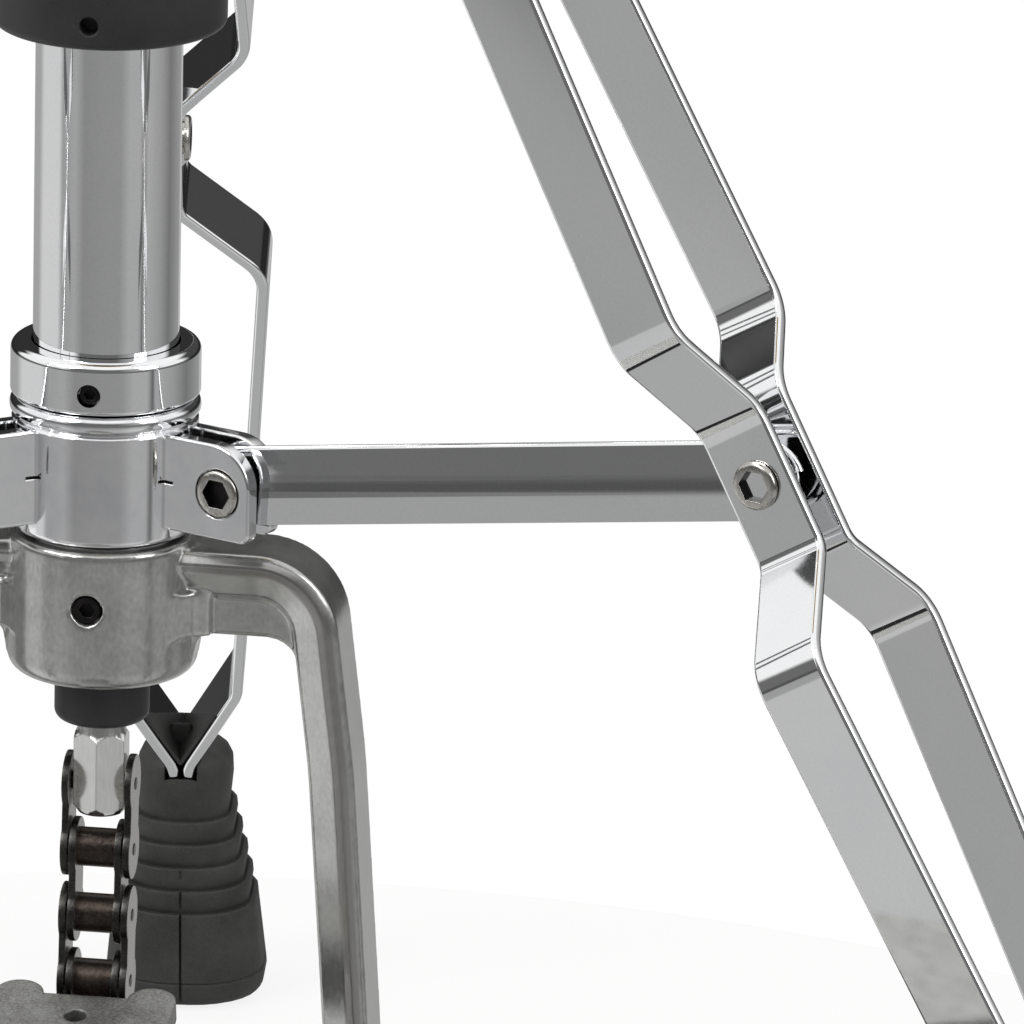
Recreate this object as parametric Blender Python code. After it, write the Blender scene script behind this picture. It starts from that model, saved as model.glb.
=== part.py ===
"""A hi-hat: pedal, chain, pull rod, folding tripod and a pair of cymbals, in metres, +Z up.

The origin is on the floor under the tube's axis, and the pedal points to -Y.
"""

import math

import bmesh
import bpy
from mathutils import Matrix, Vector

MM = 0.001

# Clearances
FIT = 0.3 * MM  # between pieces that touch, slide or turn on each other
CHAIN_FIT = 0.25 * MM  # between the plates of the chain
OVERLAP = 1.0 * MM  # how far shapes of one piece run into each other, and how far a cut runs past a face

# Facets round a turned piece
FACETS = 24
SMALL_FACETS = 12
CHAIN_FACETS = 14
CYMBAL_FACETS = 36
ARC_STEPS = 3  # steps in a rounded corner

# Lower tube
TUBE_DIAMETER = 27.2 * MM
TUBE_WALL = 2.0 * MM
TUBE_LENGTH = 434.0 * MM

# Base plate, heel and pin
BASE_THICKNESS = 4.0 * MM
BASE_REAR_WIDTH = 128.0 * MM
BASE_REAR_DEPTH = 36.0 * MM
BASE_FRONT_WIDTH = 72.0 * MM
BASE_NECK = 46.0 * MM  # length over which the plate narrows in front of the yoke
HEEL_AXIS_REACH = 262.0 * MM  # from the tube's axis to the heel pin
HEEL_AXIS_HEIGHT = 24.0 * MM
HEEL_PIN_DIAMETER = 6.0 * MM
HEEL_PIN_HEAD = 10.0 * MM
HEEL_PIN_HEAD_THICKNESS = 2.0 * MM
HEEL_LENGTH = 46.0 * MM
HEEL_HEIGHT = 12.0 * MM
HEEL_EAR = 7.0 * MM

# Footboard
BOARD_THICKNESS = 4.0 * MM
BOARD_RISE = 2.4 * MM  # from the heel axis up to the underside
BOARD_HEEL_WIDTH = 50.0 * MM
BOARD_WIDTH = 80.0 * MM
BOARD_WIDEST = 140.0 * MM  # from the heel axis to the widest place
BOARD_TOE_WIDTH = 34.4 * MM
BOARD_TOE_STRAIGHT = 22.0 * MM
BARREL_DIAMETER = 12.0 * MM
TOE_NOTCH_WIDTH = 15.8 * MM
TOE_NOTCH_DEPTH = 4.0 * MM
TOE_HOLE_DIAMETER = 4.2 * MM
TOE_HOLE_INSET = 7.0 * MM
TOE_SETBACK = 2.58 * MM  # from the chain's lowest pin back to the tips of the lobes, along the board
TOE_DROP = 8.52 * MM  # of that pin below the board's line through the heel axis
TOE_PIN_DIAMETER = 2.8 * MM

# Roller chain, half-inch pitch
CHAIN_PITCH = 12.69 * MM
CHAIN_LINKS = 4
ROLLER_DIAMETER = 7.4 * MM
ROLLER_WIDTH = 7.3 * MM
LINK_PLATE = 1.35 * MM
LINK_HEIGHT = 11.2 * MM
LINK_WAIST = 8.2 * MM
CHAIN_PIN_DIAMETER = 3.4 * MM
CHAIN_BORE_DIAMETER = 4.4 * MM
CHAIN_LEAN = math.radians(-4.52)  # the lower end leans towards the heel

# Rod connector and pull rods
CONNECTOR_PIN_HEIGHT = 129.2 * MM
CONNECTOR_FLATS = 9.6 * MM
CONNECTOR_DROP = 5.6 * MM  # below the chain pin
CONNECTOR_CHAMFER = 0.8 * MM
ROD_DIAMETER = 8.0 * MM
ROD_SOCKET = 8.0 * MM  # depth of the rod in the connector
ROD_TOP = 560.0 * MM
UPPER_ROD_DIAMETER = 6.4 * MM
UPPER_ROD_SOCKET = 12.0 * MM
UPPER_ROD_TOP = 1000.0 * MM
ROD_ABOVE_CLUTCH = 42.56 * MM

# Yoke
HUB_BASE = 152.0 * MM
HUB_HEIGHT = 27.4 * MM
HUB_DIAMETER = 35.6 * MM
HUB_FLOOR = 3.2 * MM
HUB_ROUND = 3.0 * MM
HUB_CHAMFER = 0.8 * MM
ARM_WIDTH = 9.1 * MM
ARM_DEPTH = 17.0 * MM
ARM_RIDGE = 2.4 * MM  # width of the band along the arm's outer side, where it is deepest
ARM_RIDGE_RISE = 3.0 * MM
ARM_SPAN = 42.6 * MM  # from the axis to the middle of the arm where the bend ends
ARM_FOOT_SPAN = 54.2 * MM  # from the axis to the middle of the arm at the floor
ARM_BEND = 13.0 * MM
ARM_DROP = 6.45 * MM  # from the hub's top to the middle of the arm
WEB_THICKNESS = 8.0 * MM
WEB_HEIGHT = 12.25 * MM
WEB_ROUND = 5.0 * MM
ARM_PAD_LENGTH = 30.0 * MM
ARM_PAD_WIDTH = 16.0 * MM
ARM_PAD_THICKNESS = 5.0 * MM
HUB_SCREW_DIAMETER = 5.0 * MM
HUB_SCREW_LENGTH = 3.2 * MM
HUB_SCREW_HEIGHT = 16.0 * MM  # above the hub's base

# Guide bush under the hub
BUSH_DIAMETER = 17.8 * MM
BUSH_DROP = 9.8 * MM
BUSH_ROUND = 2.0 * MM
BUSH_STEM_DIAMETER = 14.0 * MM
BUSH_STEM_RISE = 9.0 * MM

# Strut collar and stop ring
COLLAR_HEIGHT = 25.6 * MM
COLLAR_DIAMETER = 34.8 * MM
COLLAR_LIP = 3.6 * MM
COLLAR_LIP_DIAMETER = 35.6 * MM
COLLAR_CHAMFER = 0.8 * MM
LUG_RADIUS = 29.3 * MM  # from the axis to the pivots of the struts and the legs
LUG_RISE = 12.9 * MM  # of the pivot above the collar's base
LUG_REACH = 6.4 * MM  # beyond the pivot
LUG_EAR = 3.0 * MM
LUG_TOP_ROUND = 8.0 * MM
LUG_FOOT_ROUND = 2.0 * MM
LUG_MARGIN = 3.3 * MM  # from the collar's base up to the lugs, which end at its lip above
BOLT_DIAMETER = 5.0 * MM
BOLT_HEAD_DIAMETER = 8.6 * MM
BOLT_HEAD_PROUD = 0.6 * MM
BOLT_HEAD_SUNK = 2.0 * MM
SOCKET_FLATS = 4.8 * MM
SOCKET_DEPTH = 2.0 * MM
RING_HEIGHT = 10.0 * MM
RING_BEVEL = 1.9 * MM
RING_DIAMETER = 35.4 * MM
RING_SCREW_DIAMETER = 3.8 * MM
RING_SCREW_SUNK = 1.2 * MM

# Tripod
TRIPOD_TURN = math.radians(-23.84)  # direction of the right leg
LEG_COUNT = 3
LEG_ANGLE = math.radians(30.92)  # from the vertical
LEG_UPPER = 223.84 * MM  # from the top pivot to the strut's pivot
LEG_LOWER = 205.0 * MM  # from the strut's pivot to the end
STRUT_ANGLE = math.radians(10.75)  # above the horizontal
STRUT_HEIGHT = 14.6 * MM
STRUT_WIDTH = 4.0 * MM
STRUT_WALL = 1.1 * MM
STRUT_ROUND = 1.3 * MM
STRIP_WIDTH = 14.6 * MM
STRIP_THICKNESS = 2.4 * MM
STRIP_BEND = 9.0 * MM
STRIP_GAP = 0.7 * MM  # between a lug and a strip at the top pivot
STRIP_SPREAD_ABOVE = 18.3 * MM  # from the middle of the leg to the outside of a strip
STRIP_SPREAD_BELOW = 21.2 * MM
PINCH_HALF = 14.0 * MM  # half the straight stretch at the strut's pivot
PINCH_RUN = 17.6 * MM  # length of each slanted stretch next to it
STRIP_SPREAD_AT_FOOT = 14.4 * MM
FOOT_BEND = 165.7 * MM  # from the strut's pivot to the bend above the foot
FOOT_GRIP = 186.0 * MM  # from the strut's pivot to where the strips lie together
PIVOT_HEAD_DIAMETER = 9.0 * MM
PIVOT_HEAD_THICKNESS = 1.1 * MM
PIVOT_STUB_DIAMETER = 6.4 * MM

# Rubber foot
FOOT_HEIGHT = 60.0 * MM
FOOT_WIDTH = 34.0 * MM
FOOT_TOP_WIDTH = 20.0 * MM
FOOT_LENGTH = 39.0 * MM
FOOT_TOP_LENGTH = 25.0 * MM
FOOT_SHIFT = 11.0 * MM  # of the middle of the base beyond the leg's end
FOOT_LEAN = 17.2 * MM  # from the middle of the top to the middle of the base
FOOT_SOLE = 5.8 * MM
FOOT_RIB_BASE = 22.1 * MM
FOOT_RIB_STEP = 5.2 * MM
FOOT_RIBS = 5
FOOT_RIB_DEPTH = 0.9 * MM
FOOT_ROUND = 0.34  # share of the section's half width that is rounded

# Leg collar
LEG_COLLAR_HEIGHT = 30.0 * MM
LEG_LUG_WIDTH = 13.0 * MM
LEG_LUG_HEIGHT = 16.0 * MM
LEG_PIN_HEAD = 8.0 * MM
LEG_PIN_HEAD_THICKNESS = 1.2 * MM
BOSS_DIAMETER = 14.0 * MM
BOSS_REACH = 25.0 * MM
SCREW_DIAMETER = 6.0 * MM
SCREW_HEAD_GAP = 2.0 * MM
WING_HUB_DIAMETER = 12.0 * MM
WING_HUB_LENGTH = 9.0 * MM
WING_SPAN = 34.0 * MM
WING_HEIGHT = 12.0 * MM
WING_THICKNESS = 4.0 * MM
WING_SCREW_TURN = math.radians(180.0)  # from the right leg

# Tension dial, seat and return spring
DIAL_BASE = 276.2 * MM
DIAL_HEIGHT = 34.0 * MM
DIAL_DIAMETER = 43.4 * MM
DIAL_ROUND = 3.0 * MM
DIAL_GROOVE = 33.0 * MM  # diameter
DIAL_END = 6.0 * MM  # thickness of each end beside the groove
DIAL_HOLE_DIAMETER = 3.4 * MM
DIAL_HOLE_RISE = 4.8 * MM
DIAL_HOLE_DEPTH = 4.0 * MM
SEAT_HEIGHT = 6.0 * MM
SEAT_LUG_WIDTH = 5.0 * MM
SEAT_TRAVEL = 8.0 * MM  # of the seat in the tube's slots, each way
SPRING_WIRE = 2.2 * MM
SPRING_DIAMETER = 16.0 * MM  # at the middle of the wire
SPRING_LENGTH = 76.0 * MM
SPRING_TURNS = 10
SPRING_POINTS = 9  # on each turn
SPRING_SIDES = 6
FLANGE_HEIGHT = 8.0 * MM

# Tube clamp and upper tube
CLAMP_GRIP = 30.0 * MM  # on the lower tube
CLAMP_NECK = 20.0 * MM  # above it
CLAMP_DIAMETER = 38.0 * MM
CLAMP_CHAMFER = 2.0 * MM
CLAMP_BUSH_FLANGE = 2.3 * MM
CLAMP_BUSH_LENGTH = 28.0 * MM
UPPER_TUBE_DIAMETER = 19.0 * MM
UPPER_TUBE_WALL = 2.0 * MM
UPPER_TUBE_BOTTOM = 480.0 * MM

# Seat of the bottom cymbal
CUP_SLEEVE = 16.0 * MM
CUP_WALL = 3.0 * MM
CUP_DIAMETER = 48.0 * MM
CUP_THICKNESS = 5.0 * MM
CUP_NECK_DIAMETER = 11.0 * MM
CUP_NECK = 14.0 * MM
SEAT_FELT_DIAMETER = 42.0 * MM
SEAT_FELT_THICKNESS = 7.0 * MM
TILT_SCREW_DIAMETER = 4.0 * MM
TILT_SCREW_HEAD = 9.0 * MM
TILT_SCREW_HEAD_HEIGHT = 7.0 * MM
TILT_SCREW_LENGTH = 12.0 * MM

# Cymbals
CYMBAL_DIAMETER = 355.6 * MM
CYMBAL_THICKNESS = 1.2 * MM
CYMBAL_HOLE = 13.0 * MM
CYMBAL_BOW = 22.0 * MM
BELL_DIAMETER = 92.0 * MM
BELL_HEIGHT = 15.0 * MM
BELL_STEPS = 3
BOW_STEPS = 3
CYMBAL_GAP = 32.2 * MM  # between the rims with the pedal up

# Clutch
CLUTCH_SLEEVE_DIAMETER = 12.0 * MM
CLUTCH_HEAD_DIAMETER = 22.0 * MM
CLUTCH_HEAD_HEIGHT = 24.0 * MM
CLUTCH_CHAMFER = 1.5 * MM
CLUTCH_FELT_DIAMETER = 32.0 * MM
CLUTCH_FELT_THICKNESS = 6.0 * MM
CLUTCH_NUT_DIAMETER = 22.0 * MM
CLUTCH_NUT_HEIGHT = 8.0 * MM
CLUTCH_SLEEVE_END = 2.0 * MM  # below the nut
CLUTCH_SCREW_SIZE = 0.7  # of the wing screws on the tubes

# Finishes: colour, metallic value, roughness
CHROME = ((0.80, 0.81, 0.83), 1.0, 0.08)
CAST_ALUMINIUM = ((0.50, 0.50, 0.49), 1.0, 0.45)
DARK_STEEL = ((0.06, 0.06, 0.065), 1.0, 0.40)
BRIGHT_STEEL = ((0.66, 0.66, 0.67), 1.0, 0.25)
BLACK_PLASTIC = ((0.02, 0.02, 0.02), 0.0, 0.45)
RUBBER = ((0.03, 0.03, 0.03), 0.0, 0.75)
BLACK_PAINT = ((0.03, 0.03, 0.035), 0.0, 0.40)
BRONZE = ((0.72, 0.50, 0.20), 1.0, 0.25)
FELT = ((0.55, 0.53, 0.50), 0.0, 0.95)

# Places worked out from the sizes above
TUBE_RADIUS = TUBE_DIAMETER / 2
TUBE_BORE = TUBE_RADIUS - TUBE_WALL
TUBE_BOTTOM = HUB_BASE + HUB_FLOOR + FIT
TUBE_TOP = TUBE_BOTTOM + TUBE_LENGTH
SLEEVE_BORE = TUBE_RADIUS + FIT  # of everything that goes on the tube
HUB_TOP = HUB_BASE + HUB_HEIGHT
COLLAR_BASE = HUB_TOP + FIT
COLLAR_TOP = COLLAR_BASE + COLLAR_HEIGHT
LUG_HEIGHT = COLLAR_BASE + LUG_RISE
RING_BASE = COLLAR_TOP + FIT
STRUT_LENGTH = LEG_UPPER * math.sin(LEG_ANGLE) / math.cos(STRUT_ANGLE)
LEG_TOP_HEIGHT = LUG_HEIGHT + STRUT_LENGTH * math.sin(STRUT_ANGLE) + LEG_UPPER * math.cos(LEG_ANGLE)
SEAT_BASE = DIAL_BASE + (DIAL_HEIGHT - SEAT_HEIGHT) / 2
SPRING_BASE = SEAT_BASE + SEAT_HEIGHT + FIT
FLANGE_BASE = SPRING_BASE + SPRING_LENGTH + FIT
CONNECTOR_TOP = HUB_BASE - FIT - BUSH_DROP - FIT
CHAIN_FOOT = Vector((0.0, 0.0, CONNECTOR_PIN_HEIGHT)) + CHAIN_LINKS * CHAIN_PITCH * Vector(
    (0.0, math.sin(CHAIN_LEAN), -math.cos(CHAIN_LEAN))
)
HEEL_TO_CHAIN = CHAIN_FOOT - Vector((0.0, -HEEL_AXIS_REACH, HEEL_AXIS_HEIGHT))
BOARD_SLOPE = math.atan2(HEEL_TO_CHAIN.z, HEEL_TO_CHAIN.y) + math.asin(TOE_DROP / HEEL_TO_CHAIN.length)
BOARD_LENGTH = math.sqrt(HEEL_TO_CHAIN.length_squared - TOE_DROP**2) - TOE_SETBACK
UPPER_BORE = UPPER_TUBE_DIAMETER / 2 + FIT  # of everything that goes on the upper tube
BOW_DROP = CYMBAL_BOW * (CYMBAL_HOLE / CYMBAL_DIAMETER) ** 2
BELL_DROP = BELL_HEIGHT * (CYMBAL_HOLE / BELL_DIAMETER) ** 2
CYMBAL_HEIGHT = CYMBAL_BOW - BOW_DROP + BELL_HEIGHT - BELL_DROP + CYMBAL_THICKNESS  # up to the hole's edge
CLUTCH_SEAT = FIT + CLUTCH_FELT_THICKNESS + FIT  # from that edge to the clutch's head
TOP_CYMBAL_CREST = UPPER_ROD_TOP - ROD_ABOVE_CLUTCH - CLUTCH_HEAD_HEIGHT - CLUTCH_SEAT
BOTTOM_CYMBAL_BASE = TOP_CYMBAL_CREST - 2 * CYMBAL_HEIGHT - CYMBAL_GAP
FELT_BASE = BOTTOM_CYMBAL_BASE - FIT - SEAT_FELT_THICKNESS
CUP_BASE = FELT_BASE - FIT - CUP_THICKNESS
UPPER_TUBE_TOP = CUP_BASE - FIT


def clear_scene():
    for old in list(bpy.data.objects):
        bpy.data.objects.remove(old, do_unlink=True)


def axis(name, location, turn=0.0, tilt=0.0, parent=None):
    """An empty on a joint's axis, which carries the pieces that move on it."""
    empty = bpy.data.objects.new(name, None)
    empty.location = location
    empty.rotation_euler = (tilt, 0.0, turn)
    empty.parent = parent
    bpy.context.scene.collection.objects.link(empty)
    return empty


def paint(mesh, name, finish):
    colour, metallic, roughness = finish
    material = bpy.data.materials.new(name + "_finish")
    material.use_nodes = True
    shader = material.node_tree.nodes["Principled BSDF"]
    shader.inputs["Base Color"].default_value = (*colour, 1.0)
    shader.inputs["Metallic"].default_value = metallic
    shader.inputs["Roughness"].default_value = roughness
    mesh.materials.append(material)


def add_part(name, shape, finish, parent):
    """One node: the shape in its parent's frame, with its own material."""
    bmesh.ops.recalc_face_normals(shape, faces=shape.faces)
    mesh = bpy.data.meshes.new(name)
    shape.to_mesh(mesh)
    shape.free()
    mesh.shade_smooth()
    mesh.set_sharp_from_angle(angle=math.radians(32))
    paint(mesh, name, finish)
    part = bpy.data.objects.new(name, mesh)
    part.parent = parent
    bpy.context.scene.collection.objects.link(part)
    return part


def combine(part, shape, operation):
    """Joins a shape to a part, or cuts it from the part."""
    bmesh.ops.recalc_face_normals(shape, faces=shape.faces)
    mesh = bpy.data.meshes.new(part.name + "_" + operation.lower())
    shape.to_mesh(mesh)
    shape.free()
    helper = bpy.data.objects.new(mesh.name, mesh)
    helper.parent = part
    helper.hide_render = True
    helper.display_type = "WIRE"
    bpy.context.scene.collection.objects.link(helper)
    modifier = part.modifiers.new(operation.lower(), "BOOLEAN")
    modifier.operation = operation
    modifier.solver = "EXACT"
    modifier.object = helper


def join(part, *shapes):
    for shape in shapes:
        combine(part, shape, "UNION")


def cut(part, *shapes):
    for shape in shapes:
        combine(part, shape, "DIFFERENCE")


def moved(shape, *matrices):
    for matrix in matrices:
        bmesh.ops.transform(shape, matrix=matrix, verts=shape.verts)
    return shape


def shift(x=0.0, y=0.0, z=0.0):
    return Matrix.Translation((x, y, z))


def turn_about(name, angle):
    return Matrix.Rotation(angle, 4, name)


def ring_points(radius, facets, phase=0.0):
    steps = [phase + 2 * math.pi * i / facets for i in range(facets)]
    return [(radius * math.cos(step), radius * math.sin(step)) for step in steps]


def turned(profile, facets=FACETS):
    """A profile of (radius, height) turned about Z: a solid if its ends are on the axis, or else a ring."""
    shape = bmesh.new()
    rows = []
    for radius, height in profile:
        around = ring_points(radius, facets) if radius > 0 else [(0.0, 0.0)]
        rows.append([shape.verts.new((x, y, height)) for x, y in around])
    following = rows[1:] + rows[:1] if all(len(row) > 1 for row in rows) else rows[1:]
    for row, other in zip(rows, following):
        for i in range(facets):
            j = i + 1
            corners = (row[i % len(row)], row[j % len(row)], other[j % len(other)], other[i % len(other)])
            face = list(dict.fromkeys(corners))
            if len(face) > 2:
                shape.faces.new(face)
    return shape


def loft(sections):
    """A solid through rings of as many points each, with flat ends."""
    shape = bmesh.new()
    rows = [[shape.verts.new(point) for point in section] for section in sections]
    for row, other in zip(rows, rows[1:]):
        for i in range(len(row)):
            j = (i + 1) % len(row)
            shape.faces.new((row[i], row[j], other[j], other[i]))
    shape.faces.new(rows[0])
    shape.faces.new(rows[-1])
    return shape


def prism(outline, low, high):
    """An outline in X and Y, extruded along Z."""
    return loft([[(x, y, z) for x, y in outline] for z in (low, high)])


def block(x, y, z):
    """A box between pairs of limits."""
    return prism([(x[0], y[0]), (x[1], y[0]), (x[1], y[1]), (x[0], y[1])], *z)


def rod(radius, low, high, facets=SMALL_FACETS, phase=0.0):
    return prism(ring_points(radius, facets, phase), low, high)


def along_x(shape):
    return moved(shape, turn_about("Y", math.pi / 2))


def along_y(shape):
    """Turns +Z of a shape to +Y."""
    return moved(shape, turn_about("X", -math.pi / 2))


def upright(shape):
    """Stands an outline drawn in X and Y up in the X-Z plane, with its extrusion along -Y."""
    return moved(shape, turn_about("X", math.pi / 2))


def rounded(points, radius, steps=ARC_STEPS, closed=False):
    """A path of 2D points with an arc of the radius at each corner."""
    count = len(points)
    path = []
    for i, corner in enumerate(points):
        here = Vector(corner)
        if not closed and i in (0, count - 1):
            path.append(here)
            continue
        size = radius[i] if isinstance(radius, (list, tuple)) else radius
        if size == 0:
            path.append(here)
            continue
        back = (Vector(points[i - 1]) - here).normalized()
        ahead = (Vector(points[(i + 1) % count]) - here).normalized()
        half = back.angle(ahead) / 2
        reach = size / math.tan(half)
        centre = here + (back + ahead).normalized() * size / math.sin(half)
        start = here + back * reach - centre
        sweep = start.angle_signed(here + ahead * reach - centre)
        for step in range(steps + 1):
            # angle_signed is clockwise, so the turn is negated
            path.append(centre + Matrix.Rotation(-sweep * step / steps, 2) @ start)
    return path


def chamfered_rod(radius, low, high, chamfer, facets=FACETS):
    inner = radius - chamfer
    profile = [(0.0, high), (inner, high), (radius, high - chamfer)]
    profile += [(radius, low + chamfer), (inner, low), (0.0, low)]
    return turned(profile, facets)


def sleeve(bore, radius, low, high, facets=FACETS):
    return turned([(bore, high), (radius, high), (radius, low), (bore, low)], facets)


def make_base(parent):
    """The plate on the floor and the heel that carries the pedal's pin."""
    rear = BASE_REAR_DEPTH / 2
    front = -HEEL_AXIS_REACH - HEEL_LENGTH
    corners = [
        (BASE_REAR_WIDTH / 2, -rear),
        (BASE_REAR_WIDTH / 2, rear),
        (-BASE_REAR_WIDTH / 2, rear),
        (-BASE_REAR_WIDTH / 2, -rear),
        (-BASE_FRONT_WIDTH / 2, -rear - BASE_NECK),
        (-BASE_FRONT_WIDTH / 2, front),
        (BASE_FRONT_WIDTH / 2, front),
        (BASE_FRONT_WIDTH / 2, -rear - BASE_NECK),
    ]
    outline = rounded(corners, HEEL_HEIGHT / 2, steps=2, closed=True)
    add_part("base_plate", prism(outline, 0.0, BASE_THICKNESS), BLACK_PAINT, parent)

    floor = BASE_THICKNESS + FIT
    half = BOARD_HEEL_WIDTH / 2 + FIT + HEEL_EAR
    ear_radius = BARREL_DIAMETER / 2 + FIT
    gap = ear_radius + OVERLAP
    side = [
        (-HEEL_AXIS_REACH - HEEL_LENGTH + OVERLAP, floor),
        (-HEEL_AXIS_REACH - gap, floor),
        (-HEEL_AXIS_REACH - gap, floor + HEEL_HEIGHT),
        (-HEEL_AXIS_REACH - HEEL_LENGTH + OVERLAP, floor + HEEL_HEIGHT / 2),
    ]
    body = loft([[(x, y, z) for y, z in side] for x in (-half, half)])
    heel = add_part("heel_block", body, CAST_ALUMINIUM, parent)
    for inner, outer in ((-half, HEEL_EAR - half), (half - HEEL_EAR, half)):
        ear = prism(ring_points(ear_radius, SMALL_FACETS), inner, outer)
        join(heel, moved(along_x(ear), shift(y=-HEEL_AXIS_REACH, z=HEEL_AXIS_HEIGHT)))
        foot_y = (-HEEL_AXIS_REACH - gap - OVERLAP, -HEEL_AXIS_REACH + ear_radius)
        join(heel, block((inner, outer), foot_y, (floor, HEEL_AXIS_HEIGHT)))
    bore = along_x(rod(HEEL_PIN_DIAMETER / 2 + FIT, -half - OVERLAP, half + OVERLAP))
    cut(heel, moved(bore, shift(y=-HEEL_AXIS_REACH, z=HEEL_AXIS_HEIGHT)))

    end = half + FIT
    head = HEEL_PIN_HEAD / 2
    pin_radius = HEEL_PIN_DIAMETER / 2
    profile = [(0.0, end + HEEL_PIN_HEAD_THICKNESS), (head, end + HEEL_PIN_HEAD_THICKNESS), (head, end)]
    profile += [(pin_radius, end), (pin_radius, -end), (head, -end)]
    profile += [(head, -end - HEEL_PIN_HEAD_THICKNESS), (0.0, -end - HEEL_PIN_HEAD_THICKNESS)]
    pin = along_x(turned(profile, SMALL_FACETS))
    add_part("heel_pin", moved(pin, shift(y=-HEEL_AXIS_REACH, z=HEEL_AXIS_HEIGHT)), BRIGHT_STEEL, parent)


def board_outline():
    """The footboard from above, with +Y towards the toe and two lobes beside the chain."""
    heel = BOARD_HEEL_WIDTH / 2 - FIT
    toe = BOARD_TOE_WIDTH / 2
    shoulder = BOARD_LENGTH - BOARD_TOE_STRAIGHT
    notch = TOE_NOTCH_WIDTH / 2
    start = BARREL_DIAMETER
    right = [(heel, 0.0), (heel, start)]
    for step in range(1, ARC_STEPS + 1):
        share = step / ARC_STEPS
        width = heel + (BOARD_WIDTH / 2 - heel) * math.sin(share * math.pi / 2)
        right.append((width, start + (BOARD_WIDEST - start) * share))
    for step in range(1, 2 * ARC_STEPS + 1):
        share = step / (2 * ARC_STEPS)
        width = toe + (BOARD_WIDTH / 2 - toe) * (1 + math.cos(share * math.pi)) / 2
        right.append((width, BOARD_WIDEST + (shoulder - BOARD_WIDEST) * share))
    lobe = [(toe, shoulder), (toe, BOARD_LENGTH), (notch, BOARD_LENGTH)]
    lobe.append((notch, BOARD_LENGTH - TOE_NOTCH_DEPTH))
    lobe_round = (toe - notch) / 2 - FIT / 2
    right += [tuple(p) for p in rounded(lobe, (0, lobe_round, lobe_round, 0))[1:]]
    return right + [(-x, y) for x, y in reversed(right)]


def make_pedal(parent):
    """The footboard and the clamp under its toe, in a frame on the heel axis with +Y along the board."""
    top = BOARD_RISE + BOARD_THICKNESS
    board = add_part("footboard", prism(board_outline(), BOARD_RISE, top), CAST_ALUMINIUM, parent)
    half = BOARD_HEEL_WIDTH / 2
    join(board, along_x(rod(BARREL_DIAMETER / 2, -half + FIT, half - FIT)))
    cut(board, along_x(rod(HEEL_PIN_DIAMETER / 2 + FIT, -half - OVERLAP, half + OVERLAP)))
    hole = rod(TOE_HOLE_DIAMETER / 2, BOARD_RISE - OVERLAP, top + OVERLAP)
    cut(board, moved(hole, shift(y=BOARD_LENGTH - TOE_NOTCH_DEPTH - TOE_HOLE_INSET)))

    foot = parent.matrix_basis.inverted() @ CHAIN_FOOT
    inner = ROLLER_WIDTH / 2 + LINK_PLATE + 2 * CHAIN_FIT
    outer = inner + 2 * LINK_PLATE
    link = LINK_HEIGHT / 2
    back = foot.y - link - OVERLAP
    low = foot.z - link / 2
    high = BOARD_RISE - FIT
    front = back - BOARD_TOE_STRAIGHT
    clamp = add_part("toe_clamp", block((-outer, outer), (front, back), (low, high)), DARK_STEEL, parent)
    for side in (-1, 1):
        limits = sorted((side * inner, side * outer))
        join(clamp, block(limits, (back - OVERLAP, foot.y + link / 2), (low, foot.z + link / 2)))
    pin = along_x(rod(TOE_PIN_DIAMETER / 2, -inner - LINK_PLATE, inner + LINK_PLATE))
    join(clamp, moved(pin, shift(y=foot.y, z=foot.z)))


def link_plate(middle, thickness):
    """A chain plate across X: two round ends and a waist, between pins at 0 and one pitch below."""
    end = LINK_HEIGHT / 2
    dip = math.acos(LINK_WAIST / LINK_HEIGHT)
    steps = 2 * ARC_STEPS
    outline = []
    for base, start in ((0.0, -dip), (-CHAIN_PITCH, math.pi - dip)):
        for step in range(steps + 1):
            angle = start + (math.pi + 2 * dip) * step / steps
            outline.append((end * math.cos(angle), base + end * math.sin(angle)))
    return loft([[(x, y, z) for y, z in outline] for x in (middle - thickness / 2, middle + thickness / 2)])


def make_chain(parent):
    """Four links from the connector's pin down, in a frame on that pin with the chain along -Z."""
    inner_plate = ROLLER_WIDTH / 2 + LINK_PLATE / 2
    outer_plate = ROLLER_WIDTH / 2 + LINK_PLATE * 1.5 + CHAIN_FIT
    for index in range(CHAIN_LINKS):
        place = shift(z=-index * CHAIN_PITCH)
        outer = index % 2 == 0
        middle = outer_plate if outer else inner_plate
        name = "chain_outer_link_" if outer else "chain_inner_link_"
        link = add_part(
            name + str(index // 2 + 1), moved(link_plate(middle, LINK_PLATE), place), DARK_STEEL, parent
        )
        join(link, moved(link_plate(-middle, LINK_PLATE), place))
        radius = CHAIN_PIN_DIAMETER / 2 if outer else ROLLER_DIAMETER / 2
        width = middle + LINK_PLATE / 2 + CHAIN_FIT / 2 if outer else middle
        ends = [shift(z=-(index + pin) * CHAIN_PITCH) for pin in (0, 1)]
        join(link, *[moved(along_x(rod(radius, -width, width, CHAIN_FACETS)), at) for at in ends])
        if not outer:
            reach = inner_plate + LINK_PLATE
            cut(link, *[moved(along_x(rod(CHAIN_BORE_DIAMETER / 2, -reach, reach)), at) for at in ends])


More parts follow.
